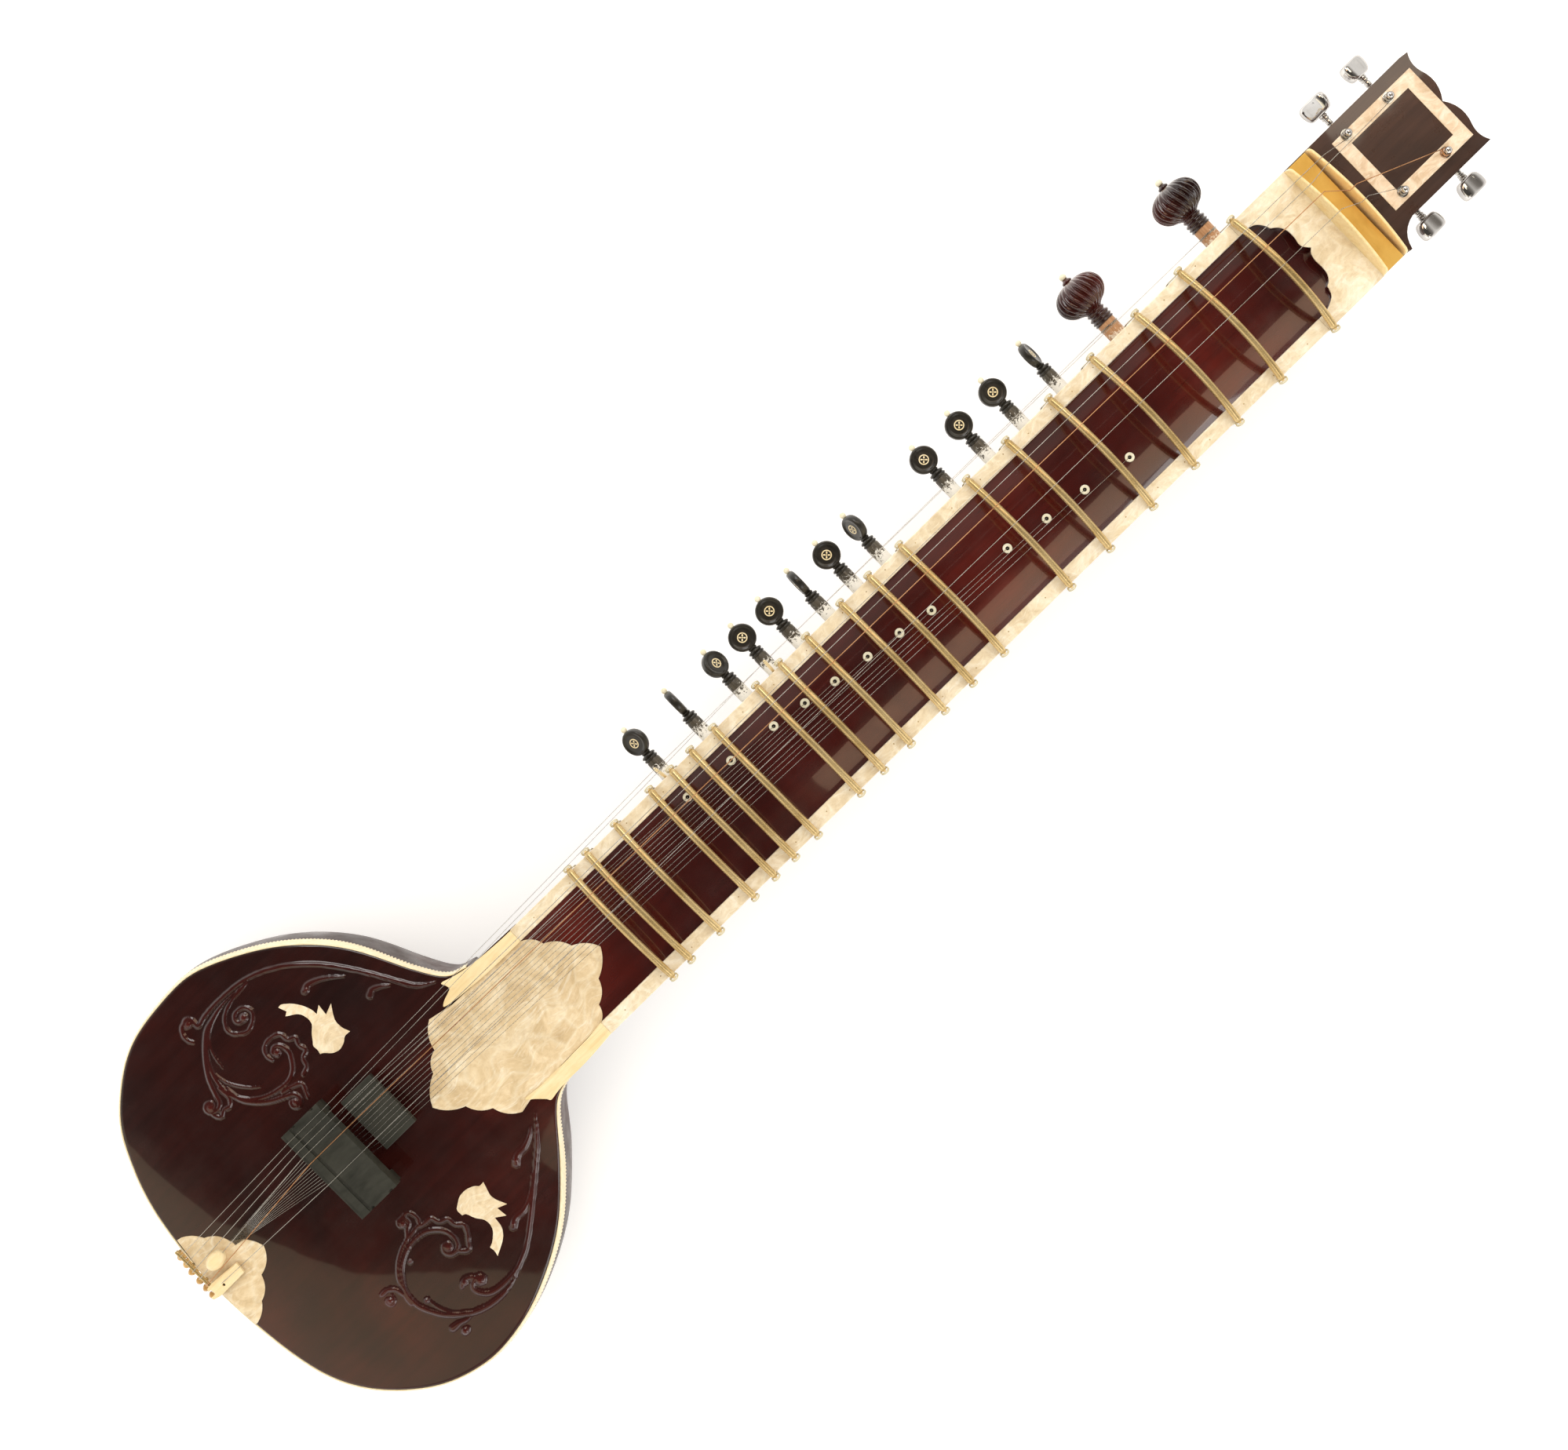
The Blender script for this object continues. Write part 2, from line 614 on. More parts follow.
# ---------------------------------------------------------------- materials
mat_board = lacquer("lacquer_board", "#220d0b", "#33110d", "#4a170f", rough=0.2, wave=0.10,
                    recolour=redden_carving)
mat_cover = lacquer("lacquer_cover", "#360e0b", "#48130d", "#5e1a11", grain=(160, 7, 160),
                    rough=0.2, wave=0.10)
mat_shell = lacquer("lacquer_shell", "#1f0c09", "#2d130e", "#401a12", grain=(60, 60, 14),
                    rough=0.34, coat=0.12, wave=0.12, Specular_IOR_Level=0.25,
                    Specular_Tint=(1.0, 0.76, 0.6, 1.0))
mat_head = lacquer("lacquer_head", "#38241b", "#4c3023", "#5e3c2c", grain=(240, 9, 240),
                   rough=0.34, wave=0.12)
mat_pearl = pearl("pearl_laminate")
mat_pearl_dense = pearl("pearl_dense", "#ddc8a2", "#eedcb9", "#fbeed2", density=1.5)
mat_pearl_light = pearl("pearl_light", "#e2d0ac", "#f0e2c4", "#fcf3de", density=1.2)
mat_pearl_frame = pearl("pearl_frame", "#dabf9f", "#ebd2b4", "#f7e6ce", density=1.3)
mat_bone = bone("polished_bone")
mat_nut = bone("nut_bone", "#dfbb78", "#f2d494", "#fbe6b4", grain=(500, 20, 500))
mat_ivory = bone("ivory_strip", "#dcbd82", "#efd49c", "#fae6bb", grain=(500, 20, 500))
mat_neck = neck_material()
mat_eyelet = bone("eyelet_bone", "#cfc29c", "#e8dfc0", "#f6efd8", rough=0.35)
mat_binding = bone("binding_bone", "#cdb689", "#ead7ac", "#f5e8c6", grain=(300, 300, 900),
                   rough=0.4)
mat_brass = metal("fret_brass", "#dcc18b", "#c2a368", rough=0.24, brushed=900, relief=0.05,
                  metallic=0.7)
mat_amber = plain("amber_prong", "#b07f3c", "#e0b469", rough=0.35, grain=300, coat=0.6,
                  relief=0.3)
mat_gilt = metal("gilt_plate", "#eabb5c", "#dcaa4c", rough=0.4, brushed=(40, 900, 900),
                 relief=0.06, metallic=0.45)
mat_chrome = metal("chrome", "#f1efec", "#dddbd8", rough=0.09, brushed=500, relief=0.01,
                   recolour=darken_rim)
mat_horn = plain("bridge_horn", "#24251f", "#3c3b31", rough=0.42, grain=(260, 65, 260),
                 coat=0.15, relief=0.25)
mat_ebony = plain("ebony", "#17140f", "#2c2820", rough=0.32, grain=(100, 500, 500), coat=0.35,
                  relief=0.15)
mat_steel = metal("string_steel", "#cfccc4", "#a8a296", rough=0.25, brushed=900, relief=0.02)
mat_copper = metal("string_copper", "#dca87c", "#c28a5e", rough=0.3, brushed=900, relief=0.02)
mat_thread = plain("fret_thread", "#cfc39c", "#efe6c8", rough=0.6, grain=2500, relief=0.5)
mat_hole = plain("dark_inside", "#100807", "#1d0f0c", rough=0.7, grain=300, relief=0.3)
mat_shaft = shaft_material("small_peg_shaft", "#2f291f", "#5a5142", "#efece4", start=-58, end=-45)
mat_big_shaft = shaft_material("large_peg_shaft", "#a9774c", "#c99a70", "#ead8c2", start=-52,
                               end=-40)
mat_big_peg = lacquer("large_peg_lacquer", "#140605", "#250a07", "#571a10", grain=(30, 300, 300),
                      rough=0.18, wave=0.05)

# ---------------------------------------------------------------- body
# carved strokes, left side first: kind and centreline x y
CARVING = [
    ("vine", """-54.2 119.4, -58.2 112.6, -63.2 107.8, -69.9 103.9, -86.5 93.9, -100.4 84.4,
     -110.8 76.1, -120.5 66.4, -128.9 55.3, -135.1 42.8, -138.2 30.3, -139 15, -138.2 3.9,
     -136.5 -3.6, -142.1 -4.1, -144.8 -6.5, -144 -9.4, -141.2 -9.9, -140.4 -7.7"""),
    ("vine", """-135.8 30.3, -135.4 15, -132.3 3.9, -126.1 -5.8, -118.5 -12.7, -110.1 -16.9,
     -101.8 -19, -93.5 -18.7, -86.5 -15.5, -80.3 -9.9, -76.1 -3, -73.8 5.3, -73.4 13, -76.1 19.2,
     -81 23.4, -86.5 25.9, -92.1 24.8, -94.6 21.3, -92.7 18.1, -89.6 19.2, -90.4 21.7"""),
    ("vine", """-135.1 9.5, -131.2 -1.6, -124 -9.9, -115.7 -16.9, -107.4 -21.7, -98.3 -24.9,
     -93.5 -26.6, -91.3 -30.5, -92.7 -34.6, -96 -35.7, -98.5 -33.5, -97.4 -30.2, -94.3 -30.5"""),
    ("vine", """-97.6 -16.9, -86.5 -16.2, -78.2 -10.6, -72 -3, -67.8 5.3, -65 9.8, -60.9 10.6,
     -58 7.4, -59.9 4.2, -63 4.8, -62.7 7.3"""),
    ("rib", "-110.1 -16.6, -101.8 -15.5, -94.2 -12, -87.2 -6.5, -83.2 -1.6"),
    ("rib", "-134.3 9.5, -129.6 -0.2, -122.6 -6.5, -115.7 -9.1, -107.4 -10.2"),
    ("leaf", """-134.8 35.9, -133.7 23.4, -130.7 14.4, -125.1 8.8, -119.6 8.1, -115.4 11.6,
     -112.9 16.4, -114.9 22.3, -119.6 26.4, -124.8 24.8, -126.5 20, -124.6 15.9, -120.7 15.6,
     -119.3 19.2"""),
    ("leaf", """-89.6 15, -94.9 14.5, -99.3 18.1, -99.9 24.8, -97.4 29.5, -92.1 30.6, -89.6 34.8,
     -84.9 33.1, -79.6 34.2, -77.4 29.5, -72.1 27.3, -69.9 22"""),
    ("leaf", "-71 5.3, -69.6 12, -66.3 17.8, -60.5 15.6, -58 14.5"),
    ("leaf", "-100.4 -20.8, -92.1 -20.2, -87.7 -23.3, -88.5 -28, -86.5 -32.1, -90.7 -34.9"),
    ("leaf", "-131.2 -12.7, -135.7 -14.7, -140.4 -13.8, -144 -11"),
    ("drop", "-106 58.1, -107.6 62.2, -105.1 69.2, -100.4 76.1, -95.4 81.9"),
    ("drop", "-76 85.1, -77.7 88.6, -75.4 93.9, -72 98.3"),
    ("vine", """47.5 106.6, 61.4 93.9, 69.7 84.4, 78 74.7, 87.1 63.6, 96.1 52.5, 103.7 41.4,
     108.8 28.9, 109.4 16.4, 107.5 8.1, 102.7 3.7, 98 2.8, 95.2 5.9, 94.7 10.3, 97.7 12.5,
     100 9.8"""),
    ("vine", """111.3 26.1, 113.6 15, 113 3.9, 110 -5.8, 104.4 -14.1, 97.5 -21, 89.1 -25.9,
     80.8 -28.7, 71.1 -28, 64.2 -24.5, 57.2 -18.3, 52.4 -9.9, 50.6 -1.6, 51.7 6.7, 55.8 13,
     61.4 16.7, 68.3 17, 73.3 13.7, 73 8.8, 69.2 6.7, 65.8 9.2, 67.2 12.8, 70.3 12.3"""),
    ("vine", """69.7 -28, 61.4 -24.9, 54.2 -18.3, 49.6 -10.6, 47 -3.6, 43.1 0.3, 40.6 3.9,
     37 3.7, 35.6 0.6, 37.8 -1.6, 40 0.1"""),
    ("rib", "83.6 -26.6, 91.9 -24.4, 100.2 -18.3, 106.5 -10.6, 110.2 -1.6"),
    ("rib", "83.3 -21.7, 91.9 -20.5, 100.5 -16.6, 105.8 -9.9"),
    ("leaf", """47.5 -3, 46.1 5.3, 47.5 9.5, 48.3 15.6, 53.3 17.5, 55.8 22.5, 61.4 23.4,
     65.5 27, 70.8 24.8, 75.3 21.2, 78.6 18.1, 75.3 13.7"""),
    ("leaf", "35.3 2.6, 36.1 8.1, 42 9.8, 46.1 7.8"),
    ("leaf", "61.1 -39.9, 61.4 -34.9, 65 -31, 71.1 -29.9, 78 -30.8"),
    ("rib", "64.7 -34.9, 69.4 -36.6, 70 -39.9, 66.7 -41, 65 -38.8"),
    ("leaf", "92.5 -1.6, 90.2 1.7, 91.1 5.3, 93.3 8.1"),
    ("drop", "106.9 -23.8, 107.5 -18.8, 109.7 -11.9"),
    ("rib", "113 -22.1, 111.9 -19.7, 113.8 -17.4, 115.8 -19.9"),
    ("drop", "61.1 76.1, 58.1 80.3, 57.5 87.2, 54.7 93.9, 51.4 98.3"),
    ("drop", "87.8 47.2, 85.3 51.7, 85.3 59.5, 81.6 67.8, 72.5 78.9"),
    ("rib", "83 -23.3, 82.8 -20.8"),
    ("rib", "58.1 -13.3, 58.9 -11"),
]
# knobs of the curls: x y radius
KNOBS = rows("""-141.8 -7.4 2.6, -91 20.4 2.6, -95.2 -32.6 3, -61.2 7 2.4, -120.6 20.4 2.8,
    -106 59.6 2, 97.6 9.2 2.8, 91.6 1.6 1.8, 68.8 10.6 3.2, 38.6 1 2.4, 67.4 -38.4 2.2,
    113.8 -19.8 2.4, 83 -22.6 1.5, 58.4 -12.4 1.4, 86.8 48.6 1.9, 59.6 77.4 1.9""")


def stroke_shape(kind, u, spans):
    """Half width along a stroke (u from 0 to 1), and its height."""
    if kind == "vine":
        taper = (0.35 + 0.65 * ease(u / 0.08)) * (1.0 - 0.35 * ease((u - 0.75) / 0.25))
        return 1.55 * taper, 1.25
    if kind == "leaf":
        return 1.05 + 0.45 * np.abs(np.sin(u * math.pi * spans)), 1.0
    if kind == "drop":
        return 1.9 * (1 - u) ** 0.7 + 0.5, 1.1
    return 0.95 * (0.4 + 0.6 * np.sin(u * math.pi)), 0.9


def carve(points):
    """Height of the carving over the board at each point, and how red it is there."""
    height = np.zeros(len(points))
    red = np.zeros(len(points))
    x, y = points[:, 0], points[:, 1]
    for kind, text in CARVING:
        knots = rows(text)
        line = spline(knots, 14)
        width, rise = stroke_shape(kind, np.linspace(0, 1, len(line)), len(knots) - 1)
        low, high = line.min(0) - 6, line.max(0) + 6
        near = np.where((x > low[0]) & (x < high[0]) & (y > low[1]) & (y < high[1]))[0]
        # distance from the line in half widths, worked out in chunks to save memory
        d = np.concatenate([
            (np.linalg.norm(points[near[s:s + 20000], None, :] - line[None], axis=2)
             / width).min(1) for s in range(0, len(near), 20000)])
        h = rise * np.sqrt(np.clip(1 - d ** 2, 0, 1)) ** 1.1
        h = h - 0.30 * np.exp(-((d - 1.35) / 0.32) ** 2)
        if kind == "vine":
            h = h - 0.35 * np.exp(-(d / 0.22) ** 2)
        old = height[near]
        height[near] = np.where(h > 0.02, np.maximum(old, h),
                                np.where(old > 0.05, old, np.minimum(old, h)))
        red[near] = np.maximum(red[near], np.clip(1.2 - d, 0, 1))
    for knob_x, knob_y, radius in KNOBS:
        d = np.hypot(x - knob_x, y - knob_y) / radius
        height = np.maximum(height, 1.7 * np.sqrt(np.clip(1 - d ** 2, 0, 1)))
        red = np.maximum(red, np.clip(2.2 * (1.15 - d), 0, 2))
    return height, red


def build_soundboard():
    n = len(OUTLINE)
    inset = OUTLINE - NORMALS * 0.75
    shares = np.linspace(1, 0.012, 190)
    verts = np.vstack([np.column_stack([BODY_CENTRE + (inset - BODY_CENTRE) * share,
                                        board_z(OUTLINE_Y, share)]) for share in shares])
    height, red = carve(verts[:, :2])
    edge = np.repeat(np.clip((1 - shares) / 0.012, 0, 1), n)
    verts[:, 2] += height * np.repeat(ease((1 - shares) / 0.03), n) - 0.5 * (1 - edge) ** 2
    centre = len(verts)
    last = centre - n
    skirt = centre + 1
    below = np.column_stack([inset, board_z(OUTLINE_Y, 1.0) - 3.5])
    verts = np.vstack([verts, [[*BODY_CENTRE, BOARD_TOP]], below,
                       [[*BODY_CENTRE, BOARD_TOP - 4]]])
    pairs = [(i, (i + 1) % n) for i in range(n)]
    faces = ring_faces(len(shares), n)
    faces += [(last + i, last + j, centre) for i, j in pairs]
    faces += [(skirt + i, skirt + j, j, i) for i, j in pairs]
    faces += [(skirt + j, skirt + i, skirt + n) for i, j in pairs]
    ob = add_mesh("soundboard_carved", verts, faces, [mat_board], "board_lacquer",
                  replaces="soundboard")
    values = np.zeros(len(verts), np.float32)
    values[:len(red)] = red
    ob.data.attributes.new("carve", "FLOAT", "POINT").data.foreach_set("value", values)


def build_binding(count=2800):
    """Band round the edge, with a toothed lower edge."""
    # section: outward, up, outward and downward share of the teeth
    section = rows("""-0.85 -0.3 0 0, -0.72 0.12 0 0, -0.35 0.2 0 0, -0.05 0.05 0 0,
        0.12 -0.5 0 0, 0.5 -2.2 0 0, 0.95 -4.2 0 0, 1.45 -7.4 0.9 0, 1.6 -8.6 0.9 0.8,
        1.0 -8.9 0 0.8, -0.6 -8.4 0 0""")
    line = resample(OUTLINE, count)
    outward = normals(line)
    edge_z = rim_z(line[:, 1])
    thinning = 1 - 0.75 * ease((line[:, 1] - 88) / 30)
    tooth = 0.55 * np.abs(((np.arange(count) / 8.0) % 1) * 2 - 1)
    rings = []
    for out, up, tooth_out, tooth_down in section:
        reach = out * (thinning if out >= 0.2 else 1) + tooth * tooth_out
        rings.append(np.column_stack([line + outward * reach[:, None],
                                      edge_z + up - tooth * tooth_down]))
    add_mesh("edge_binding", np.stack(rings, 1).reshape(-1, 3), loft(count, len(section)),
             [mat_binding], "bone", replaces="soundboard_binding")


def build_bowl():
    # stations: share of the rim's height, share of the outline, bulge
    levels = spline(rows("""0 0.5 0, 0.04 0.62 0, 0.12 0.78 0, 0.27 0.905 0, 0.44 0.975 1,
        0.62 1 2.8, 0.79 1 2.8, 0.93 1 1.4, 0.995 1 0"""), 8)
    levels = np.vstack([rows("0 0.02 0, 0 0.25 0, 0 0.42 0"), levels])
    levels[:, 0] = np.maximum(levels[:, 0], 0.0)
    levels[:, 1] = np.minimum(levels[:, 1], 1.0)
    fade = 1 - ease((OUTLINE_Y - 96) / 40)
    low, rim = rim_z(0.0) - 4, rim_z(OUTLINE_Y) - 4
    rings = []
    for up, share, bulge in levels:
        ring = BODY_CENTRE + (OUTLINE + NORMALS * (bulge * fade)[:, None] - BODY_CENTRE) * share
        ring[:, 1] = np.minimum(ring[:, 1], 139.9)
        top = rim if up >= 0.9 else low + (rim - low) * max(0, (up - 0.79) / 0.11)
        rings.append(np.column_stack([ring, up * top]))
    add_mesh("bowl", np.vstack(rings), loft(len(levels), len(OUTLINE), end=False), [mat_shell],
             "shell_lacquer", replaces="body_shell", sharp=50)


build_soundboard()
build_binding()
build_bowl()

# ---------------------------------------------------------------- plates on the body
# lobed outlines: x y bulge
LEAF = [*lobes(rows("0.4 64.5 2, 14 79.6 2, 26.6 90.7 2.2, 41 102 0")), (41, 102),
        *lobes(rows("""37.5 118 0.1, 35.6 175.5 1.6, 26.6 182.5 2, 15.1 193.2 1.8,
            1.8 207.8 1.8, -11 195.6 2, -24.1 184.5 1.6, -34.6 176.9 0""")),
        (-34.9, 176), (-36.5, 118),
        *lobes(rows("-39.9 101.3 2.2, -24.1 90.3 2, -14.4 79.6 2, 0.4 64.5 0"))]
TAIL = [*rows("-51.5 -107.6, -30 -110.6, -12 -111.3, 5 -110.9, 19.5 -110.2"),
        *lobes(rows("""20 -109 1.5, 12 -96 2.2, 0.2 -84 2.5, -11.6 -69.7 2.5, -28.1 -83 2.2,
            -40.8 -93.7 1.6, -51.5 -106 0"""))]
BIRD_LEFT = rows("""-110.1 39.7, -110.8 42.1, -106 47.7, -100.4 51.4, -94.9 53.6, -90.7 53.9,
    -93.9 58.5, -86.5 57.8, -89.3 64.6, -84.5 61.5, -79.6 58.8, -73.4 59.2, -68.8 61.3,
    -69.2 56.7, -66.4 53.9, -64.8 49, -66.4 44.2, -70.6 40.7, -71.7 38.4, -74.7 39.3,
    -78.2 38.6, -80.3 40.7, -84.5 43.5, -87.9 47.7, -92.1 48.4, -97 47.2, -99.7 44.9,
    -102.1 40.7, -103.2 39.3, -104.9 41.8""")
BIRD_RIGHT = rows("""60.7 30.3, 55.8 30, 53.8 33.1, 51 37.2, 50.6 42.8, 52.8 48.4, 55.6 50.4,
    55.1 53.9, 59.3 52.5, 64.2 50.8, 68.3 51.4, 75.3 54.3, 72.8 48.4, 80.1 49, 76 43.2,
    83.6 42.2, 89.1 37.9, 94.3 27.5, 90.5 28.6, 87.1 28, 85.7 31.7, 80.8 37.2, 76 38.6,
    71.8 37.9, 67.6 34.5, 61.4 32.8""")
# shoulder strips, open towards the neck: x y
STRIP_LEFT = [(-43.9, NECK_Y), *rows("""-44.2 165, -45.2 150, -46.6 139, -48.6 130,
    -50.7 122.6, -47.2 123.6, -44.7 123.8, -43.4 121, -42.4 118, -40.9 114.8, -38.9 113.6,
    -37.2 122, -36.2 134, -35.2 150"""), (-35.0, NECK_Y)]
STRIP_RIGHT = [(35.0, NECK_Y), *rows("""36.2 165, 36.6 152, 37 143, 36.9 131, 37.2 121,
    36.3 108.8, 40.8 113.4, 45.6 118.3, 48 120.2, 47.2 126, 46.4 134, 46.2 150, 45.2 165"""),
    (44.2, NECK_Y)]


def round_blunt(points):
    """Rounds the blunt corners of a closed outline and keeps the sharp ones."""
    rounded = []
    for i, corner in enumerate(points):
        before, after = points[i - 1], points[(i + 1) % len(points)]
        u, v = before - corner, after - corner
        if u @ v / (np.linalg.norm(u) * np.linalg.norm(v)) > -0.35:
            rounded.append(corner)
        else:
            rounded += bezier((before + corner) / 2, corner, (corner + after) / 2,
                              (0.25, 0.5, 0.75))
    return rounded


def leaf_z(x, y):
    return BOARD_TOP + 1.1 + SAG * x * x * ease((y - 100) / 76)


def strip_z(x, y):
    rise = 6.4 * ease((y - 108) / 62)
    return np.minimum(RAIL_TOP - 0.05, BOARD_TOP + 1.6 + rise) + 0.25


plate("leaf_plate", LEAF, leaf_z, mat_pearl, "pearl", step=2.2, lip=0.5,
      drop=lambda x, y: np.where(y > 176, cover_z(x) - 0.1, BOARD_TOP - 0.4),
      replaces="pearl_inlays")
plate("tail_plate", TAIL, lambda x, y: board_height(x, y) + 0.8, mat_pearl, "pearl", thick=1.4,
      lip=0.35)
for side, outline in (("left", BIRD_LEFT), ("right", BIRD_RIGHT)):
    plate("bird_inlay_" + side, round_blunt(outline), lambda x, y: board_height(x, y) + 0.45,
          mat_pearl_dense, "pearl", thick=1.0, step=1.4, lip=0.25)
for side, outline in (("left", STRIP_LEFT), ("right", STRIP_RIGHT)):
    plate("shoulder_strip_" + side, spline(outline, 5), strip_z, mat_ivory, "bone", step=1.6,
          lip=0.5, drop=lambda x, y: BOARD_TOP - 1.5)


# ---------------------------------------------------------------- collar and neck
def neck_section(half, top, low, steps=40):
    """U-shaped section (x, z) from the right top edge, underneath, to the left top edge."""
    section = [(half, top)]
    for i in range(2 * steps + 1):
        a = math.radians(i * 90 / steps)
        section.append((half * signed_power(math.cos(a), 0.77),
                        SECTION_MID - (SECTION_MID - low) * abs(math.sin(a)) ** 0.77))
    section.append((-half, top))
    return np.array(section)


def neck_shell(name, start, end, half, low, top, mat, slot, replaces, count, channel=()):
    """Shell along y; half(y) and low(y) vary its section, channel closes it along the top."""
    rings = []
    for y in np.linspace(start, end, count):
        section = np.vstack([neck_section(half(y), top, low(y)), *channel])
        rings.append(np.column_stack([section[:, 0], np.full(len(section), y), section[:, 1]]))
    n = len(section)
    faces = ring_faces(count, n, closed=False, flip=True)
    faces += [tuple(range(n)), tuple((count - 1) * n + i for i in range(n - 1, -1, -1))]
    faces += [(j * n + n - 1, j * n, (j + 1) * n, (j + 1) * n + n - 1) for j in range(count - 1)]
    add_mesh(name, np.vstack(rings), faces, [mat], slot, replaces=replaces, sharp=40)


CHANNEL_HALF = COVER_HALF + 0.02
CHANNEL_FLOOR = BOARD_TOP - 3.2
neck_shell("collar", 140.0, NECK_Y - 0.05, lambda y: NECK_HALF + 1.0 - 0.6 * ease((y - 150) / 26),
           lambda y: NECK_LOW - 2 + 1.6 * ease((y - 145) / 31), BOARD_TOP, mat_shell,
           "shell_lacquer", "shoulder_collar", 60)
neck_shell("neck", NECK_Y, 838, lambda y: NECK_HALF, lambda y: NECK_LOW, TROUGH_TOP, mat_neck,
           "pearl", "neck_trough", 100,
           [[(-CHANNEL_HALF, TROUGH_TOP), (-CHANNEL_HALF, CHANNEL_FLOOR),
             (CHANNEL_HALF, CHANNEL_FLOOR), (CHANNEL_HALF, TROUGH_TOP)]])

# ---------------------------------------------------------------- cover board and head plate
# scalloped arch at the head end of the cover, from left to right: arcs of x y
ARCS = [rows("-34.98 797.5, -34.9 799.3, -33.8 803, -31.5 805.8, -28.4 807.9, -25.4 809.1"),
        rows("""-25.4 809.1, -22.1 813.1, -17.2 815.5, -11.2 815.8, -6.6 815, -3.5 815.7,
            0.4 818.8"""),
        rows("""0.4 818.8, 3.1 816.4, 7.6 815.3, 13.2 815.5, 18.7 814.9, 22.6 812.5,
            24.4 809.7, 25.7 809.4"""),
        rows("25.7 809.4, 30.1 807.6, 32.7 804, 34.7 799.2, 34.98 797.5")]
ARCH = [point for arc in ARCS for point in spline(arc, 4)[:-1]] + [ARCS[-1][-1]]
# eyelets in the cover: x y
EYELETS = rows("""-26.5 310.8, -23.8 345.5, -20.5 379, -17.2 402.6, -13.8 425.2, -10.5 450.3,
    -7.2 474.5, -3.3 498.3, 2.2 558.5, 6 588.6, 9.7 617.8, 14.8 651.4""")
EDGE_X = COVER_HALF - 0.06


def build_cover():
    outline = [*[(x, NECK_Y) for x in np.linspace(-EDGE_X, EDGE_X, 25)],
               *[(EDGE_X, y) for y in np.linspace(NECK_Y, 797, 60)[1:]], *ARCH[-2::-1],
               *[(-EDGE_X, y) for y in np.linspace(797, NECK_Y, 60)[:-1]]]
    plate("cover_board", outline, lambda x, y: cover_z(x), mat_cover, "cover_lacquer", thick=3.0,
          step=2.6, holes=[circle(x, y, 1.9, 16) for x, y in EYELETS], lip=0,
          replaces="neck_cover")


def build_head_plate():
    """Pearl plate beyond the arch, and the dark block under it."""
    inner, outer = EDGE_X + 0.1, NECK_HALF - 0.05
    start, end = PLATE_Y + 0.05, NUT_Y + 2.45
    outline = [(-outer, start), (-inner, start), (-inner, 797.2), *ARCH, (inner, 797.4),
               (inner, start), (outer, start), (outer, end), (-outer, end)]
    plate("head_block", outline, lambda x, y: RAIL_TOP - 0.95, mat_cover, "cover_lacquer",
          step=4, lip=0,
          drop=lambda x, y: np.where(np.abs(x) > COVER_HALF, TROUGH_TOP, BOARD_TOP - 1.5))
    plate("head_pearl", outline, lambda x, y: RAIL_TOP, mat_pearl_light, "pearl", thick=0.95,
          step=3, lip=0.25)


def bevel_part(name, width, mat):
    """Paints a frame piece and rounds its edges by width (mm)."""
    ob = nodes[name]
    weld = ob.modifiers.new("weld", "WELD")
    weld.merge_threshold = 1e-6
    bevel = ob.modifiers.new("bevel", "BEVEL")
    bevel.width = width * MM
    bevel.segments = 3
    bevel.limit_method = "ANGLE"
    bevel.angle_limit = math.radians(30)
    bevel.harden_normals = False
    ob.data.materials.clear()
    ob.data.materials.append(mat)


build_cover()
build_head_plate()
for part, width, mat in (
        ("fret_rails", 0.5, mat_pearl_light), ("name_plate", 0.3, mat_gilt),
        ("headstock", 0.8, mat_head), ("main_bridge", 0.5, mat_horn),
        ("taraf_bridge", 0.5, mat_horn), ("tuner_housings", 0.6, mat_chrome)):
    bevel_part(part, width, mat)


# ---------------------------------------------------------------- nuts, nails and head frame
def nut_z(x, top):
    return top - 8 * x * x / (NECK_HALF - 0.1) ** 2


def add_nut(parts, start, top):
    """Thin bar across the neck, its -Y face leaning towards the tail as it rises."""
    half = NECK_HALF - 0.35
    base = TROUGH_TOP + 0.5
    xs = np.concatenate([np.linspace(-1, -0.93, 9), np.linspace(-0.92, 0.92, 47),
                         np.linspace(0.93, 1, 9)]) * half
    rings = []
    for x in xs:
        past = (abs(x) - 0.93 * half) / (0.07 * half)
        rounding = math.sqrt(max(0.0, 1 - max(0.0, past) ** 2))
        h = 2.0 + (nut_z(x, top) - base - 2.0) * (0.35 + 0.65 * rounding)
        lean = 0.5 * min(1.0, h / 16)
        section = [(5.0, 0.0), (2.5, 0.0), (2.5 - lean * 0.4, h * 0.4), (2.5 - lean, h - 1.2),
                   (2.65 - lean, h - 0.5), (3.0 - lean, h - 0.12), (3.5 - lean, h),
                   (4.0 - lean, h - 0.25), (4.4 - lean, h - 0.9), (4.8 - lean, h - 2.4),
                   (5.05, h * 0.4)]
        rings += [(x, start + along, base + up) for along, up in section]
    parts.add(rings, loft(len(xs), len(section)))


def build_nuts():
    parts = Parts()
    add_nut(parts, NUT_Y, NUT_TOP)
    add_nut(parts, GUIDE_Y, GUIDE_TOP)
    parts.done("nuts_rounded", [mat_nut], "bone", replaces="nut_bars", sharp=50)


def build_nails():
    """Small nails scattered along both rails."""
    parts = Parts()
    for side in (-1, 1):
        y = NECK_Y + 16
        while y < PLATE_Y - 8:
            x = side * (NECK_HALF - 3.2 - 2.6 * rng.random())
            parts.revolve(rows("0.42 -0.3, 0.42 0.06, 0.2 0.16, 0 0.18"), 10,
                          move(x, y, RAIL_TOP))
            y += 17 + 15 * rng.random()
    parts.done("rail_nails", [mat_brass], "brass")


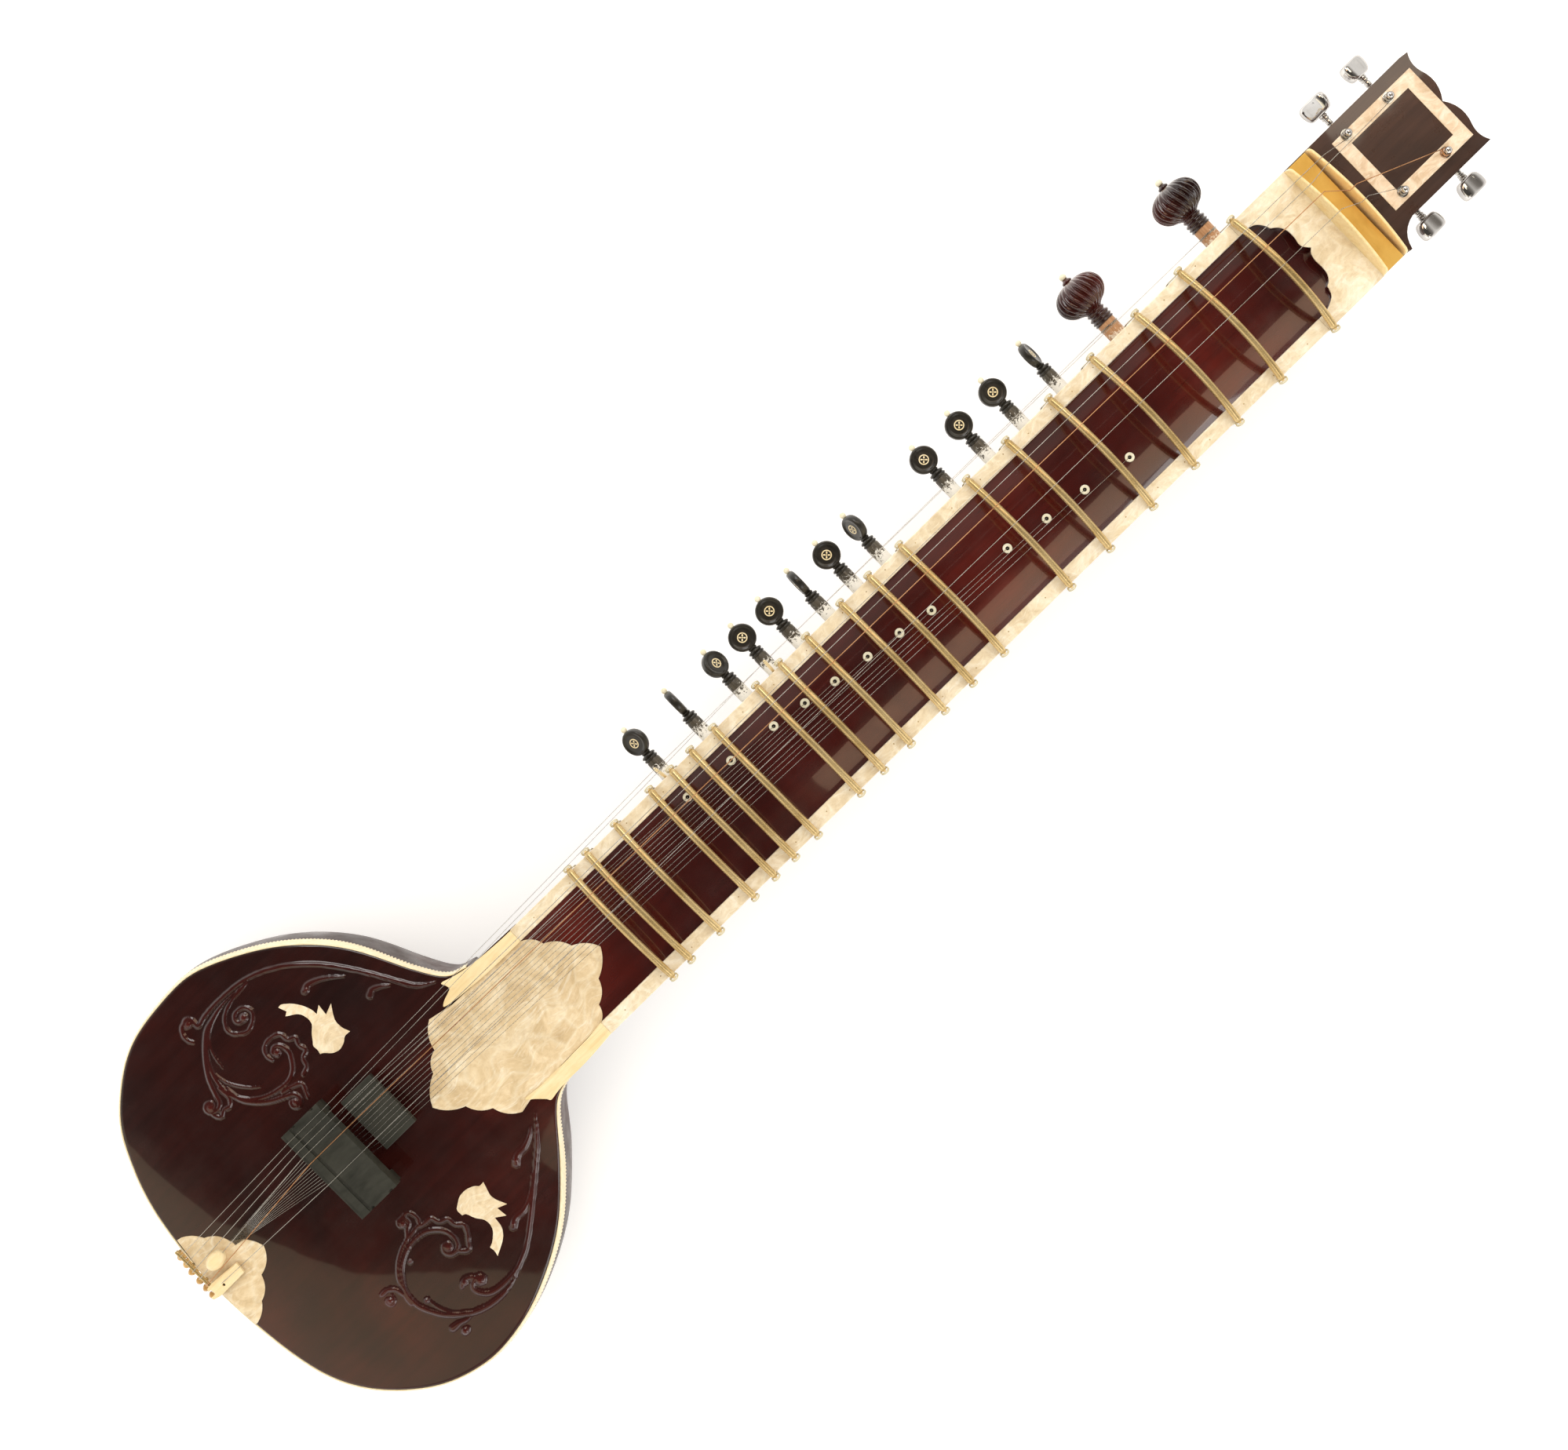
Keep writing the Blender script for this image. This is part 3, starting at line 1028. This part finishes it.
def build_head_frame():
    outer = lobes(rows("""-36 871.7 0, 20.6 871.7 0, 20.6 938 0, -36 938 0, -36 871.7 0"""), 12)
    inner = subdivide(rows("-27.8 880.7, 12 880.7, 12 929, -27.8 929, -27.8 880.7"), 3.0)[:-1]
    post_holes = [circle(x, y, 3.55, 20) for x, y, _ in POSTS]
    plate("head_frame", outer, lambda x, y: RAIL_TOP + 0.6, mat_pearl_frame, "pearl", thick=0.62,
          step=3, holes=[inner, *post_holes], lip=0.25)


build_nuts()
build_nails()
build_head_frame()


# ---------------------------------------------------------------- bone fittings
def build_eyelets():
    ring = rows("""1.5 0.02, 3 0.03, 3.05 0.5, 2.9 0.8, 2.55 0.97, 1.9 1, 1.5 0.88, 1.28 0.62,
        1.2 0.3""")
    parts = Parts()
    for x, y in EYELETS:
        frame = move(x, y, cover_z(x)) @ turn(-math.degrees(math.atan(2 * SAG * x)), "Y")
        parts.revolve(ring, 40, frame)
        parts.revolve(rows("1.2 0.32, 1.17 0, 1.15 -0.55, 0 -0.6"), 28, frame, 1)
    parts.done("eyelets", [mat_eyelet, mat_hole], "bone", replaces="bone_fittings")


def build_side_pins():
    parts = Parts()
    for y in SIDE_PIN_Y:
        foot = np.array([-42.5, y, RAIL_TOP - 15])
        tip = np.array([SIDE_PIN_TIP[0], y, SIDE_PIN_TIP[1]])
        parts.tube([foot + (tip - foot) * t for t in np.linspace(0.15, 1, 12)],
                   [1.1] * 9 + [1.15, 1.1, 0.7], 16)
    parts.done("chikari_pins", [mat_bone], "bone")


def build_tail_clip():
    """Flat tapered clip over the tail, with a round hole and a dark pin in it."""
    # rounded corners: x y before, x y of the corner, x y after, rounding length
    corners = rows("""-8 -110 -8.4 -88.6 -16.2 -88 1.3, -8.4 -88.6 -16.2 -88 -17.7 -108.2 1.3,
        -16.2 -88 -17.6 -108.4 -17 -113.1 2.5, -17.6 -108.2 -17 -113.2 -15.2 -113.5 0.8,
        -17 -113.2 -15.1 -113.6 -15.1 -111.9 0.4, -15.1 -113.6 -15.1 -111.6 -11.3 -111.6 0.8,
        -15.1 -111.6 -11.3 -111.6 -11.3 -114.8 0.8, -11.3 -111.6 -11.3 -114.9 -9.8 -115.2 0.4,
        -11.3 -114.9 -9.6 -115.2 -8 -110 0.8, -9.6 -115.2 -8 -110 -8.4 -88.6 2.5""")
    outline = []
    for row in corners:
        before, corner, after, length = row[:2], row[2:4], row[4:6], row[6]
        start, end = (corner + (other - corner) / np.linalg.norm(other - corner) * length
                      for other in (before, after))
        outline += bezier(start, corner, end, (0, 0.25, 0.5, 0.75, 1))
    hole_x, hole_y = -11.7, -103.4

    def clip_z(x, y):
        crown = 0.2 * np.cos((x + 12.8) / 9.4 * math.pi)
        return BOARD_TOP + 2.7 + (y + 88) * math.tan(math.radians(5.5)) + crown
    plate("tail_clip", outline, clip_z, mat_ivory, "bone", thick=2.2, step=1.2, lip=0.5,
          holes=[circle(hole_x, hole_y, 0.95, 14)])
    parts = Parts()
    parts.revolve(rows("0.85 0, 0.85 2, 0.6 2.5, 0 2.6"), 16,
                  move(hole_x, hole_y, BOARD_TOP - 2.6))
    parts.done("clip_pin", [mat_hole], "brass")


build_eyelets()
build_side_pins()
build_tail_clip()

# ---------------------------------------------------------------- tail prongs and bar
BAR_Y, BAR_Z, BAR_RADIUS = -111.6, BOARD_TOP - 2.9, 1.2
# prongs: x of the root, x and y of the tip
PRONGS = rows("""-42.7 -42.3 -120, -37 -36.4 -120.7, -30.7 -31.1 -121.9, -24.5 -23.4 -122.2,
    -18.7 -17.3 -122.6, -13.4 -11.4 -122.8""")


def build_prongs():
    root_y, length = -106.4, 14.6
    profile = rows("""1.5 0, 1.5 6.2, 1.55 7, 2 8.4, 2.15 9.6, 1.55 10.5, 1.45 11, 1.9 11.8,
        1.75 12.8, 1.15 13.9, 0.5 14.5, 0 14.6""")
    parts = Parts()
    for i, (x, tip_x, tip_y) in enumerate(PRONGS):
        reach = root_y - tip_y
        frame = (move(x, root_y, RAIL_TOP - 22.6)
                 @ turn(math.degrees(math.atan2(tip_x - x, reach)), "Z")
                 @ turn(95, "X") @ turn(math.degrees(i * 0.9), "Z"))
        parts.revolve(profile * (1.3, reach / length), 24, frame,
                      shape=lambda r, height, t: r * (1 + 0.05 * np.cos(3 * t)))
    parts.done("tail_prongs", [mat_amber], "brass", replaces="tailpiece")


def build_bar():
    parts = Parts()
    parts.tube([(x, BAR_Y, BAR_Z) for x in np.linspace(-47, -9.2, 20)], BAR_RADIUS, 20)
    for x in (-45.5, -33.8, -21.6):
        parts.revolve([(1.0, -4.5), (0.9, -1.0)], 16, move(x, BAR_Y, BAR_Z))
    parts.done("tail_bar", [mat_brass], "brass")


build_prongs()
build_bar()

# ---------------------------------------------------------------- strings
BRIDGE_X = [-46.1, -42.1, -38.1, -33.7, -28, -11.4]
STRING_RADIUS = [0.16, 0.16, 0.22, 0.22, 0.3, 0.2]
NUT_X = [-34.9, -27.6, -18.7, -3.8]     # strings 3 to 6
STRING_POST = [0, 1, 3, 2]
BRIDGE_Z, LOW_BRIDGE_Z = BOARD_TOP + 32, BOARD_TOP + 15


def on_bar(k, degrees):
    """Point of upper string k where it wraps the tail bar."""
    r = 1.018 * (BAR_RADIUS + STRING_RADIUS[k] + 0.12)
    a = math.radians(degrees)
    return [PRONGS[k][0], BAR_Y + r * math.cos(a), BAR_Z + r * math.sin(a)]


def on_bridge(k, y):
    return [BRIDGE_X[k], y, BRIDGE_Z + STRING_RADIUS[k] + 0.14]


def coil(centre, axis, radius, turns, pitch):
    axis = np.array(axis, float)
    u = np.cross(axis, [0.3, 1, 0.2])
    u /= np.linalg.norm(u)
    v = np.cross(axis, u)
    return [np.array(centre) + radius * (math.cos(q) * u + math.sin(q) * v)
            + axis * pitch * (q / 2 / math.pi - turns / 2)
            for q in np.linspace(0, turns * 2 * math.pi, int(turns * 24))]


def build_strings():
    parts = Parts()

    def string(path, radius, mat=0):
        parts.tube(subdivide(path, 25), radius, 7, mat, up=(0, 0.1, 1))
    for k, radius in enumerate(STRING_RADIUS):
        path = [[PRONGS[k][0], -117.5, RAIL_TOP - 19.8], on_bar(k, 139.25), on_bar(k, 117.75),
                on_bridge(k, -1.8), on_bridge(k, 25.9)]
        if k < 2:
            # over a side pin to a large peg
            x = (-52.2, -50)[k]
            string(path + [[SIDE_PIN_TIP[0] + 0.5, SIDE_PIN_Y[k], SIDE_PIN_TIP[1] + 0.9],
                           [x, LARGE_PEG_Y[k], PEG_Z + 6.45]], radius)
            parts.tube(coil((x + 0.2, LARGE_PEG_Y[k], PEG_Z), (1, 0, 0), 6.4, 3, 0.4), 0.17, 6)
            continue
        # over both nuts to a tuner post
        nut_x = NUT_X[k - 2]
        post_x, post_y, _ = POSTS[STRING_POST[k - 2]]
        guide_x = nut_x + (post_x - nut_x) * 0.3
        nut_height = nut_z(nut_x, NUT_TOP) + radius + 0.08 + 0.15
        guide_height = nut_z(guide_x, GUIDE_TOP) + radius + 0.1 + 0.15
        side = 1 if k < 4 else -1
        mat = 1 if k == 4 else 0
        string(path + [[nut_x, NUT_Y + 5.3, nut_height], [guide_x, GUIDE_Y - 0.2, guide_height],
                       [guide_x, GUIDE_Y + 5.3, guide_height],
                       [post_x + side * 2.45, post_y, RAIL_TOP + 3]], radius, mat)
        parts.tube(coil((post_x, post_y, RAIL_TOP + 2.8), (0, 0, 1), 2.5, 4, 0.5),
                   max(0.2, radius), 6, mat)
    # lower strings, from the eyelets over the low bridge
    for k, (x, y) in enumerate(EYELETS):
        share = k / 11
        bridge_x = -36.8 + share * 31.6
        slope = 2 * SAG * x
        normal = np.array([-slope, 0, 1]) / math.sqrt(1 + slope * slope)
        eyelet = np.array([x, y, cover_z(x)])
        string([eyelet - normal * 5, eyelet + normal * 1.25, [bridge_x, 55.8, LOW_BRIDGE_Z + 0.26],
                [bridge_x, 30.7, LOW_BRIDGE_Z + 0.26],
                [-28.1 + share * 3.8, -82, BOARD_TOP - 1.0]], 0.15)
    parts.done("strings_all", [mat_steel, mat_copper], "string_steel", replaces="strings")


build_strings()

# ---------------------------------------------------------------- frets
# how far each fret's thread lies from its rod, towards the head
THREAD_OFFSET = [0, 0, 0, 0, 1.8, 0, 1.4, 0, 1.8, 2.2, 0.5, 0.8, 0, 1.2, 0, 0, 0, 0, 0, 1.0]


def build_fret(name, offset):
    """Arched rod with two end rings a side, and a thread of two turns round the neck."""
    low, high = box_mm(name)
    y = high[1] - 3.3 if offset else (low[1] + high[1]) / 2

    def on_arc(t):
        return np.array([FRET_RADIUS * math.sin(t), y, FRET_CENTRE_Z + FRET_RADIUS * math.cos(t)])
    end = math.asin(FRET_HALF / FRET_RADIUS)
    ring_at = math.asin((NECK_HALF + 2) / FRET_RADIUS)
    tip = [0.6, 1.45, 2.0, 2.34, 2.34, 2.2]
    parts = Parts()
    parts.tube([on_arc(t) for t in np.linspace(-end, end, 72)], tip + [2.33] * 60 + tip[::-1],
               28, up=(0, 1, 0))
    parts.done(name + "_rod", [mat_brass], "brass", body=name, replaces=name)
    parts = Parts()
    for side in (-1, 1):
        for shift in (-0.5, 0.45):
            centre = on_arc(side * (ring_at + shift / FRET_RADIUS))
            axis = np.array([math.cos(side * ring_at), 0, -math.sin(side * ring_at)])
            u = np.array([0, 1.0, 0])
            v = np.cross(axis, u)
            parts.tube([centre + 2.72 * (math.cos(a) * u + math.sin(a) * v)
                        for a in np.linspace(0, 2 * math.pi, 36)], 0.36, 8, cap=False)
    section = neck_section(NECK_HALF + 0.75, RAIL_TOP - 1.3, NECK_LOW - 0.75, 26)
    for shift in (-0.42, 0.42):
        parts.tube([(-x, y + offset + shift, z) for x, z in section], 0.36, 7, up=(0, 1, 0))
    parts.done(name + "_thread", [mat_thread], "bone", body=name)


for i, offset in enumerate(THREAD_OFFSET):
    build_fret("fret_%02d" % (i + 1), offset)

# ---------------------------------------------------------------- small pegs
# y, turn about the shaft in degrees
SMALL_PEGS = rows("""310.5 38, 345.5 90, 379.8 -40, 403.5 0, 427.1 0, 452.3 90, 477 0, 501.4 65,
    561.7 0, 592.4 0, 621.8 0, 654.6 -65""")
# profiles: radius, x
SMALL_COLLAR = rows("""0 -65.4, 1.8 -65.3, 2.5 -64.9, 3.1 -64.3, 2.9 -63.6, 2.5 -63.2, 3.6 -62.9,
    4.55 -62.5, 4.93 -61.9, 4.85 -61.3, 4.2 -60.9, 4 -60.5, 4.7 -60, 4.9 -59.4, 4.7 -58.9,
    4.15 -58.5, 4.2 -58""")
SMALL_SHAFT = rows("""4.2 -58.2, 4.55 -57.3, 4.6 -52, 4.6 -44, 4.58 -25.4, 3.9 -24.2,
    0 -24.05""")
SMALL_TIP = rows("""0 -85.65, 0.9 -85.45, 1.6 -84.9, 1.93 -84, 1.93 -83.4, 1.6 -82.5,
    1.2 -82, 1 -81.7""")
# disc: radius, half thickness
DISC_HALF = rows("""0 2, 2.6 1.98, 3.6 1.92, 5.2 1.8, 6.2 1.85, 6.9 2.2, 7.5 2.5, 8 2.5,
    8.5 2.15, 8.86 1.4, 8.94 0.5""")
DISC = np.vstack([DISC_HALF * (1, -1), DISC_HALF[::-1]])


def add_disc_inlay(parts, face):
    """Ring, four petals and a centre dot on one face of a peg's disc."""
    parts.revolve(rows("2.55 0, 2.6 0.18, 3.2 0.2, 3.3 0"), 32, face, 2)
    for k in range(4):
        petal = face @ turn(45 + 90 * k, "Z") @ move(1.45, 0, 0.06)
        points = [(0.85 * math.cos(t), 0.5 * math.sin(t), 0.1)
                  for t in np.linspace(0, 2 * math.pi, 17)[:-1]] + [(0, 0, 0.18)]
        parts.add([petal @ Vector(p) for p in points],
                  [(j, (j + 1) % 16, 16) for j in range(16)], 2)
    parts.revolve(rows("0.45 0, 0.42 0.22, 0 0.26"), 16, face, 2)


def build_small_peg(name, y, degrees):
    base = move(0, y, PEG_Z) @ turn(degrees, "X")
    axis = base @ turn(90, "Y")
    disc = base @ move(-73.2, 0, 0)
    parts = Parts()
    parts.revolve(SMALL_COLLAR, 40, axis)
    parts.revolve(SMALL_SHAFT, 40, axis, 1)
    parts.revolve(DISC, 56, disc)
    parts.tube([base @ Vector((x, 0, 0)) for x in (-66.5, -65.8, -64.9, -64.2)],
               [3.0, 2.4, 2.3, 2.6], 24)
    for flip in (0, 180):
        add_disc_inlay(parts, disc @ turn(flip, "X") @ move(0, 0, 1.92))
    parts.revolve(SMALL_TIP, 28, axis, 3)
    parts.done(name + "_turned", [mat_ebony, mat_shaft, mat_bone, mat_eyelet], "black_peg",
               body=name, replaces=name, sharp=50)


for i, (y, degrees) in enumerate(SMALL_PEGS):
    build_small_peg("small_peg_%02d" % (i + 1), y, degrees)

# ---------------------------------------------------------------- large pegs
HEAD_X, HEAD_LENGTH, HEAD_RADIUS = -77.8, 11.6, 16.6    # middle, half length, radius
# profiles: radius, x
LARGE_END = rows("0 -92.3, 1.8 -92.3, 2.3 -91.2, 3.3 -90.6, 3.6 -89.9, 3.2 -89.2")
LARGE_COLLAR = rows("""5.4 -66.2, 5.7 -65.4, 6.5 -64.6, 6.6 -63.8, 5.8 -63, 5.4 -62.4,
    6.4 -61.9, 7.08 -61.2, 7.08 -60.4, 6.5 -59.8, 6.1 -59.4, 6.6 -59, 7.08 -58.5, 7.05 -57.9,
    6.5 -57.5, 6.1 -57.1, 6.6 -56.8, 6.9 -56.3, 6.7 -55.7, 6.2 -55.4""")
LARGE_SHAFT = rows("6.1 -55.6, 5.99 -55, 5.99 -44, 5.98 -23, 5.2 -22.1, 0 -22.05")
LARGE_TIP = rows("0 -95.9, 1.2 -95.65, 2.1 -94.9, 2.4 -93.8, 2.2 -92.8, 1.6 -92.1")


def head_profile():
    """Round head that runs down into a narrow throat."""
    profile = [(HEAD_RADIUS * math.sin(a) ** 0.8, HEAD_X - HEAD_LENGTH * math.cos(a))
               for a in (math.radians(t) for t in np.linspace(12, 146, 60))]
    radius, x = profile[-1]
    for t in np.linspace(0.15, 1, 8):
        left = (1 - t) ** 1.5
        profile.append((radius * left + 5.6 * (1 - left), x + (-65.2 - x) * t))
    return profile


def flute(radius, x, t):
    """24 spiral flutes, deepest at the middle of the head."""
    u = (x - HEAD_X + HEAD_LENGTH) / (2 * HEAD_LENGTH + 1.0)
    phase = 24 * t + 9.0 * (u - 0.5) + 5.0 * (u - 0.5) ** 2
    depth = np.sin(math.pi * min(max(u, 0), 1)) ** 0.45
    crest = 0.5 + 0.5 * np.cos(phase)
    return radius * (1 - 0.13 * depth * (1 - crest ** 0.6))


for i, y in enumerate(LARGE_PEG_Y):
    name = "large_peg_%d" % (i + 1)
    axis = move(0, y, PEG_Z) @ turn(90, "Y")
    parts = Parts()
    parts.revolve(head_profile(), 360, axis, shape=flute)
    parts.revolve(LARGE_END, 40, axis)
    parts.revolve(LARGE_COLLAR, 48, axis)
    parts.revolve(LARGE_SHAFT, 48, axis, 1)
    parts.revolve(LARGE_TIP, 28, axis, 2)
    parts.done(name + "_fluted", [mat_big_peg, mat_big_shaft, mat_eyelet], "red_peg", body=name,
               replaces=name)

# ---------------------------------------------------------------- machine heads
BUTTON_TURN = [50, -24, -15, -13]       # degrees
# button stem: radius, distance outward
STEM = rows("""1.9 -6.4, 2.1 -6, 2 -3.4, 1.7 -2.6, 2.2 -2.2, 2.6 -1.6, 2.2 -1, 2.3 -0.4,
    2.75 0.2, 2.6 0.9, 2.2 1.6, 2 3""")
# post above the rails: radius, height
POST_HEAD = rows("""2 1.2, 1.75 2, 1.7 3.6, 1.9 4.2, 2.25 4.6, 2.3 5.2, 2 6.2, 1.3 7,
    0 7.28""")


def paddle(side, around=56, along=36):
    """Points of a waisted, rounded paddle that reaches out along side * X."""
    points = []
    for a in range(along + 1):
        v = -math.pi / 2 + math.pi * a / along
        taper = signed_power(math.cos(v), 0.34)
        x = 7.7 + 6.2 * signed_power(math.sin(v), 0.55)
        grow = 0.86 + 0.14 * ease((x - 1.0) / 8.0)
        for b in range(around):
            u = 2 * math.pi * b / around
            y = 9.6 * grow * taper * signed_power(math.cos(u), 0.5)
            waist = 1 - 0.12 * math.exp(-(y / 3.2) ** 2)
            z = 4.1 * taper * signed_power(math.sin(u), 0.5) * (0.8 + 0.2 * grow) * waist
            points.append((side * x, y, z))
    return np.array(points), ring_faces(along + 1, around, flip=side < 0)


def build_button(name, x, y, side, degrees):
    """Shaft with its worm, and the button at its outer end."""
    worm_y = y + 8.3
    button_x = -51.3 if side < 0 else 36.0
    base = move(button_x, worm_y, WORM_Z) @ turn(degrees, "X")
    shaft = move(0, worm_y, WORM_Z) @ turn(90, "Y")
    parts = Parts()
    parts.revolve([(1.6, end) for end in sorted((x, button_x))], 24, shaft)
    parts.revolve([(2.0, x - 3.4), (2.0, x + 3.4)], 24, shaft)
    parts.tube([(x - 3.1 + 6.2 * q / (10 * math.pi), worm_y + 2.05 * math.cos(q),
                 WORM_Z + 2.05 * math.sin(q)) for q in np.linspace(0, 2 * math.pi * 5, 120)],
               0.42, 6)
    parts.revolve(STEM, 28, base @ turn(side * 90, "Y"))
    points, faces = paddle(side)
    parts.add(placed(points, base), faces)
    parts.done(name + "_chrome", [mat_chrome], "chrome", body=name, replaces=name)


def build_post(name, x, y):
    """Post with its toothed gear."""
    frame = move(x, y, 0)
    parts = Parts()
    parts.revolve([(0, WORM_Z - 4), (2.0, WORM_Z - 4), *(POST_HEAD + (0, RAIL_TOP))], 28, frame)
    parts.revolve([(1.9, WORM_Z - 2), (5.1, WORM_Z - 2), (5.2, WORM_Z + 2), (1.9, WORM_Z + 2)],
                  84, frame, shape=lambda r, height, t:
                  r * (1 + (0.055 * np.sign(np.cos(14 * t)) if r > 5 else 0)))
    parts.done(name + "_chrome", [mat_chrome], "chrome", body=name, replaces=name, sharp=40)


for i, (x, y, side) in enumerate(POSTS):
    build_button("tuner_button_%d" % (i + 1), x, y, side, BUTTON_TURN[i])
    build_post("tuner_post_%d" % (i + 1), x, y)


# ---------------------------------------------------------------- bead
def build_bead():
    """Bead threaded on the fourth string, between the bridge and the tail bar."""
    start = np.array(on_bridge(3, -1.8))
    along = np.array(on_bar(3, 117.75)) - start
    frame = (Matrix.Translation(start + along * 0.843)
             @ Vector(along).to_track_quat("Z", "Y").to_matrix().to_4x4())
    angles = [math.radians(t) for t in range(12, 169, 4)]
    parts = Parts()
    parts.revolve([(0.42, 7.5), (0.42, -7.5)], 24, frame, 1)
    parts.revolve([(0.45, -7.6), *[(5.13 * math.sin(a), -7.88 * math.cos(a)) for a in angles],
                   (0.45, 7.6)], 48, frame)
    parts.done("bead_turned", [mat_ivory, mat_hole], "bone", body="tuning_bead",
               replaces="tuning_bead")


build_bead()


# ---------------------------------------------------------------- floor, world, lights, camera
# (metres from here on)
def build_floor():
    mesh = bpy.data.meshes.new("floor")
    z = -0.0008
    mesh.from_pydata([(-6, -6, z), (6, -6, z), (6, 7, z), (-6, 7, z)], [], [(0, 1, 2, 3)])
    floor = bpy.data.objects.new("floor", mesh)
    bpy.context.scene.collection.objects.link(floor)
    mat = Shader("floor_paper")
    colour = mat.ramp(mat.noise(3), [(0.3, "#f4f3f1"), (0.7, "#faf9f8")])
    mesh.materials.append(mat.finish(
        Base_Color=colour, Roughness=0.9, Specular_IOR_Level=0.1,
        Emission_Color=(1, 0.995, 0.985, 1), Emission_Strength=0.3))


def build_world():
    """Even light; glossy rays see a room dark overhead and bright round the horizon."""
    world = bpy.data.worlds.new("studio")
    bpy.context.scene.world = world
    world.use_nodes = True
    world.node_tree.nodes.clear()
    add = Nodes(world.node_tree)
    output = add.new("OutputWorld")
    even = add.new("Background", {0: (1, 0.985, 0.965, 1), 1: 0.98})
    coords = add.new("TexCoord").outputs["Generated"]
    up = add.new("SeparateXYZ", {0: coords}).outputs[2]
    ramp = add.new("ValToRGB", {0: up})
    stops = ramp.color_ramp.elements
    stops[0].position, stops[0].color = 0.0, (1, 0.98, 0.95, 1)
    stops[1].position, stops[1].color = 0.86, (0.05, 0.045, 0.04, 1)
    stops.new(0.35).color = (0.9, 0.87, 0.83, 1)
    stops.new(0.62).color = (0.22, 0.20, 0.18, 1)
    room = add.new("Background", {0: ramp.outputs[0], 1: 1.0})
    glossy = add.new("LightPath").outputs["Is Glossy Ray"]
    mix = add.new("MixShader", {0: glossy, 1: even.outputs[0], 2: room.outputs[0]})
    add.feed(output.inputs[0], mix.outputs[0])


def softbox(name, place, aim, size, radiance, color):
    light = bpy.data.lights.new(name, "AREA")
    light.shape = "RECTANGLE"
    light.size, light.size_y = size
    light.energy = radiance * math.pi * size[0] * size[1]
    light.color = color
    ob = bpy.data.objects.new(name, light)
    ob.location = place
    ob.rotation_euler = (Vector(aim) - Vector(place)).to_track_quat("-Z", "Y").to_euler()
    bpy.context.scene.collection.objects.link(ob)
    return light


def overhead(name, x, y, **options):
    """Softbox facing down; the tiny tilt fixes its turn about Z."""
    return softbox(name, place=(x, y, 1.6), aim=(x, y + 0.00001, 0.1), **options)


def shape_softbox(light, lines, blur=0.012):
    """Cuts a softbox to y < max(a, min(b, c)) of the straight lines y = k + m x."""
    light.use_nodes = True
    add = Nodes(light.node_tree)
    emission = next(node for node in light.node_tree.nodes if node.type == "EMISSION")
    position = add.new("NewGeometry").outputs["Position"]
    x, y, _ = add.new("SeparateXYZ", {0: position}).outputs
    a, b, c = [add.math("ADD", add.math("MULTIPLY", x, m), k) for k, m in lines]
    limit = add.math("MAXIMUM", a, add.math("MINIMUM", b, c))
    soft = add.new("MapRange", {0: add.math("SUBTRACT", limit, y), 1: -blur, 2: blur},
                   interpolation_type="SMOOTHSTEP")
    add.feed(emission.inputs["Strength"], soft.outputs[0])


def build_lights():
    tail = overhead("soft_tail", 0.02, -1.2, size=(2.06, 2.1), radiance=0.6,
                    color=(1, 0.88, 0.58))
    overhead("soft_left", -0.585, 0.96, size=(0.37, 1.2), radiance=1.7, color=(1, 0.7, 0.46))
    overhead("soft_right", 0.8, 0.9, size=(0.34, 1.5), radiance=0.4, color=(1, 0.9, 0.78))
    overhead("soft_head", -0.44, 1.96, size=(0.86, 0.8), radiance=2.4, color=(1, 0.93, 0.76))
    shape_softbox(tail, [(-1.139, 0.61), (-0.99, 2.1), (-0.798, 0.68)])
    softbox("soft_key", place=(-1.7, 1.2, 1.9), aim=(0.0, 0.4, 0.1), size=(1.0, 1.2),
            radiance=3.6, color=(1, 0.98, 0.95))
    softbox("soft_fill", place=(1.9, 0.2, 1.6), aim=(0.0, 0.4, 0.1), size=(1.0, 1.2),
            radiance=2.0, color=(1, 0.98, 0.96))


def build_camera():
    """Camera high above the neck, looking down, with the neck askew in the picture."""
    roll = 2.3663
    camera = bpy.data.cameras.new("camera")
    ob = bpy.data.objects.new("camera", camera)
    bpy.context.scene.collection.objects.link(ob)
    place = Vector((-41.0, 384.17, RAIL_TOP + 1079.4)) * MM
    ahead = Vector((0.02257, -0.000136, -1.0)).normalized()
    right = ahead.cross(Vector((math.cos(roll), math.sin(roll), 0))).normalized()
    up = right.cross(ahead).normalized()
    ob.matrix_world = Matrix([(right[k], up[k], -ahead[k], place[k]) for k in range(3)]
                             + [(0, 0, 0, 1)])
    camera.sensor_width = 36
    camera.lens = 40.54
    camera.clip_start = 0.01
    camera.clip_end = 20
    bpy.context.scene.camera = ob


build_floor()
build_world()
build_lights()
bpy.context.scene.view_settings.view_transform = "Standard"
bpy.context.scene.view_settings.look = "None"
build_camera()
